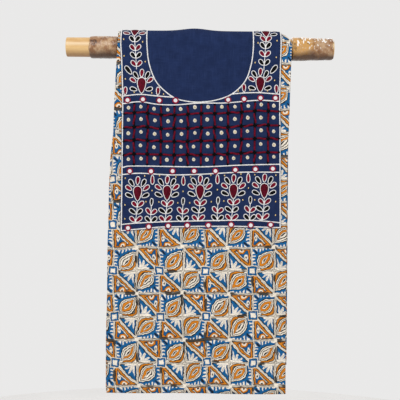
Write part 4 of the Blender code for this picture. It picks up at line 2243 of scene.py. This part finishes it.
@dataclass
class FilmBinding:
    """Film wound round a stretch of the pole: a crinkled skin with worn ends."""

    name: str
    start: float
    end: float
    radii: tuple[Pair, ...]
    finish: BindingFilm
    rows: int = 110
    sides: int = 128
    wind: float = 17.0
    folds: int = 18
    fold_rise: float = 0.07
    lap_rise: float = 0.30
    edge_dip: float = 0.25
    thickness: float = 0.12
    seed: int = 3

    def build(self) -> Piece:
        """Builds the film.

        Returns:
            The piece.
        """
        draw = np.random.default_rng(self.seed)
        along = np.linspace(0.0, 1.0, self.rows)[:, None]
        turn = np.linspace(0.0, FULL_TURN, self.sides, endpoint=False)[None, :]
        ragged = 1.2 * np.sin(3.0 * turn + draw.uniform(0, 6)) + 0.8 * np.sin(7.0 * turn)
        x = self.start + (self.end - self.start) * along + ragged * (1.0 - 2.0 * along)
        table = np.array(self.radii)
        radius = np.interp(x, table[:, 0], table[:, 1]) + 0.1
        for _ in range(self.folds):
            pull, lean = draw.integers(2, 9), draw.uniform(-0.35, 0.35)
            phase = draw.uniform(0.0, FULL_TURN)
            fold = np.sin(pull * turn + lean * x + phase)
            radius = radius + self.fold_rise * np.maximum(0.0, fold) ** 4
        lap = (x / self.wind + turn / FULL_TURN) % 1.0
        radius = radius + self.lap_rise * lap**6
        edge = np.minimum(along, 1.0 - along) * (self.end - self.start)
        radius = radius - self.edge_dip * np.exp(-edge / 2.0)
        points = np.stack([x, radius * np.cos(turn), radius * np.sin(turn)], axis=-1) * MM
        pot = MeshPot()
        pot.add_grid(points, False, True)
        piece = pot.build(self.name, self.finish.material(self.name))
        add_thickness(piece, self.thickness)
        return piece


def build_pole(length: float) -> None:
    """Builds the pole and the film wound round it on both sides of the cloth.

    Args:
        length: the pole's length.
    """
    BambooCulm(length).build()
    left = ((48.0, 20.5), (50.5, 22.1), (62.0, 22.5), (100.0, 22.5), (105.5, 22.1), (107.5, 20.4))
    right = ((466.0, 20.5), (468.5, 23.7), (490.0, 23.7), (508.0, 22.7), (552.8, 21.7))
    FilmBinding("film_left", 49.0, 107.0, left, BindingFilm(), seed=3).build()
    gilded = BindingFilm(amber_end=0.512, glints=1.0)
    FilmBinding("film_right", 467.0, 551.5, right, gilded, seed=5).build()


# ---- studio ----


@dataclass(frozen=True)
class Lamp:
    """A soft square lamp: where it stands from the middle, its side and its watts."""

    name: str
    place: Triple
    size: float
    power: float


@dataclass
class Studio:
    """Pale floor, soft light, and a camera square on to the cloth's front."""

    low: Vector
    high: Vector
    lens: float = 70.0
    field_width: float = 0.816
    view_z: float = -0.316
    view_x: float = 0.280
    roll_degrees: float = -0.55
    floor_gap: float = 0.35
    floor_radius: float = 1.5
    air: Colour = (0.93, 0.925, 0.92)
    air_strength: float = 0.88
    lamps: tuple[Lamp, ...] = (
        Lamp("key", (-0.75, -1.5, 1.25), 1.1, 13.5),
        Lamp("fill", (1.2, -1.5, 0.1), 1.2, 2.0),
        Lamp("back", (0.3, 1.7, 0.9), 1.2, 6.0),
    )

    def build(self) -> None:
        """Builds the floor, the lights, the world and the camera."""
        self.floor()
        self.world()
        for lamp in self.lamps:
            self.light(lamp)
        self.camera()

    def floor(self) -> None:
        """A pale round floor below the hem."""
        bpy.ops.mesh.primitive_circle_add(vertices=96, radius=self.floor_radius, fill_type="NGON")
        floor = bpy.context.object
        floor.name = "pale_floor"
        centre = (self.low + self.high) / 2.0
        floor.location = (centre.x, centre.y, self.low.z - self.floor_gap)
        floor.data.materials.append(FloorPaint().material())
        floor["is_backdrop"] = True
        LOG.info("%s: laid", floor.name)

    def world(self) -> None:
        """An even pale surround."""
        world = bpy.data.worlds.new("studio")
        bpy.context.scene.world = world
        world.use_nodes = True
        background = world.node_tree.nodes["Background"]
        background.inputs["Color"].default_value = (*self.air, 1.0)
        background.inputs["Strength"].default_value = self.air_strength
        bpy.context.scene.view_settings.view_transform = "Standard"

    def light(self, lamp: Lamp) -> None:
        """A soft square light that points at the middle.

        Args:
            lamp: its sizes.
        """
        data = bpy.data.lights.new(lamp.name, "AREA")
        data.size = lamp.size
        data.energy = lamp.power
        light = bpy.data.objects.new(lamp.name, data)
        place = Vector(lamp.place)
        light.location = (self.low + self.high) / 2.0 + place
        light.rotation_euler = (-place).to_track_quat("-Z", "Y").to_euler()
        bpy.context.scene.collection.objects.link(light)

    def camera(self) -> None:
        """The camera, level with the middle of the view and rolled a little."""
        data = bpy.data.cameras.new("view")
        data.lens = self.lens
        camera = bpy.data.objects.new("view", data)
        distance = self.field_width * self.lens / data.sensor_width
        camera.location = (self.view_x, self.low.y - distance, self.view_z)
        camera.rotation_euler = Euler((math.pi / 2.0, math.radians(self.roll_degrees), 0.0), "YXZ")
        bpy.context.scene.collection.objects.link(camera)
        bpy.context.scene.camera = camera


# ---- main ----


def embroider(yoke: Yoke, nodes: dict[str, Piece], centre_x: float) -> None:
    """Works all the embroidery on the yoke.

    Args:
        yoke: the yoke that it lies on.
        nodes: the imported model's nodes.
        centre_x: the yoke's centre line.
    """
    line_thread = Thread(yoke, ThreadColour.WHITE)
    Lines(yoke, line_thread).build()
    line_thread.build("white_line_chain")
    threads = Threads(
        Thread(yoke, ThreadColour.WHITE),
        Thread(yoke, ThreadColour.MAROON),
        Thread(yoke, ThreadColour.BLACK),
        Thread(yoke, ThreadColour.WINE),
    )
    beads = Beads(yoke, Thread(yoke, ThreadColour.CREAM))
    FlowerBand().build(threads, beads)
    ShoulderStrip(
        side=-1.0, stem_top=-134.3, stem_foot=-129.0, flower_x=-118.5, flower_centre=83.5,
        first=Fill.BLACK, standing=(-152.1, -85.2), rows=(-5.2, 11.8, 27.3, 44.3),
    ).build(threads, beads)
    ShoulderStrip(
        side=1.0, stem_top=135.5, stem_foot=130.7, flower_x=123.7, flower_centre=79.2,
        first=Fill.RED, standing=(91.0, 157.4), rows=(-7.8, 5.4, 21.9, 39.6),
    ).build(threads, beads)
    threads.white.build("white_motif_chain")
    threads.red.build("maroon_satin")
    threads.black.build("black_satin")
    threads.wine.build("wine_satin")
    grid_maroon = Thread(yoke, ThreadColour.MAROON)
    grid_black = Thread(yoke, ThreadColour.BLACK)
    GridPanel(yoke).build(grid_maroon, grid_black, beads)
    grid_maroon.build("maroon_grid_chain")
    grid_black.build("black_grid_chain")
    beads.build()
    rings = Thread(yoke, ThreadColour.CRIMSON)
    MirrorRings(rings, centre_x).build(nodes)
    rings.build("mirror_rings")


def main() -> None:
    """Builds and dresses every piece in order."""
    logging.basicConfig(level=logging.INFO, format="%(name)s: %(message)s")
    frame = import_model()
    cad_low, cad_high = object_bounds()
    nodes = frame["nodes"]
    pole_low, pole_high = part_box("bamboo_pole")
    centre_x = (pole_low.x + pole_high.x) / 2.0 / MM
    hang = Hang(centre_x)
    PrintedCloth(hang).build()
    yoke = Yoke(hang, YokeLayout())
    yoke.build()
    embroider(yoke, nodes, centre_x)
    build_pole((pole_high.x - pole_low.x) / MM)
    Studio(cad_low, cad_high).build()


if __name__ == "__main__":
    main()
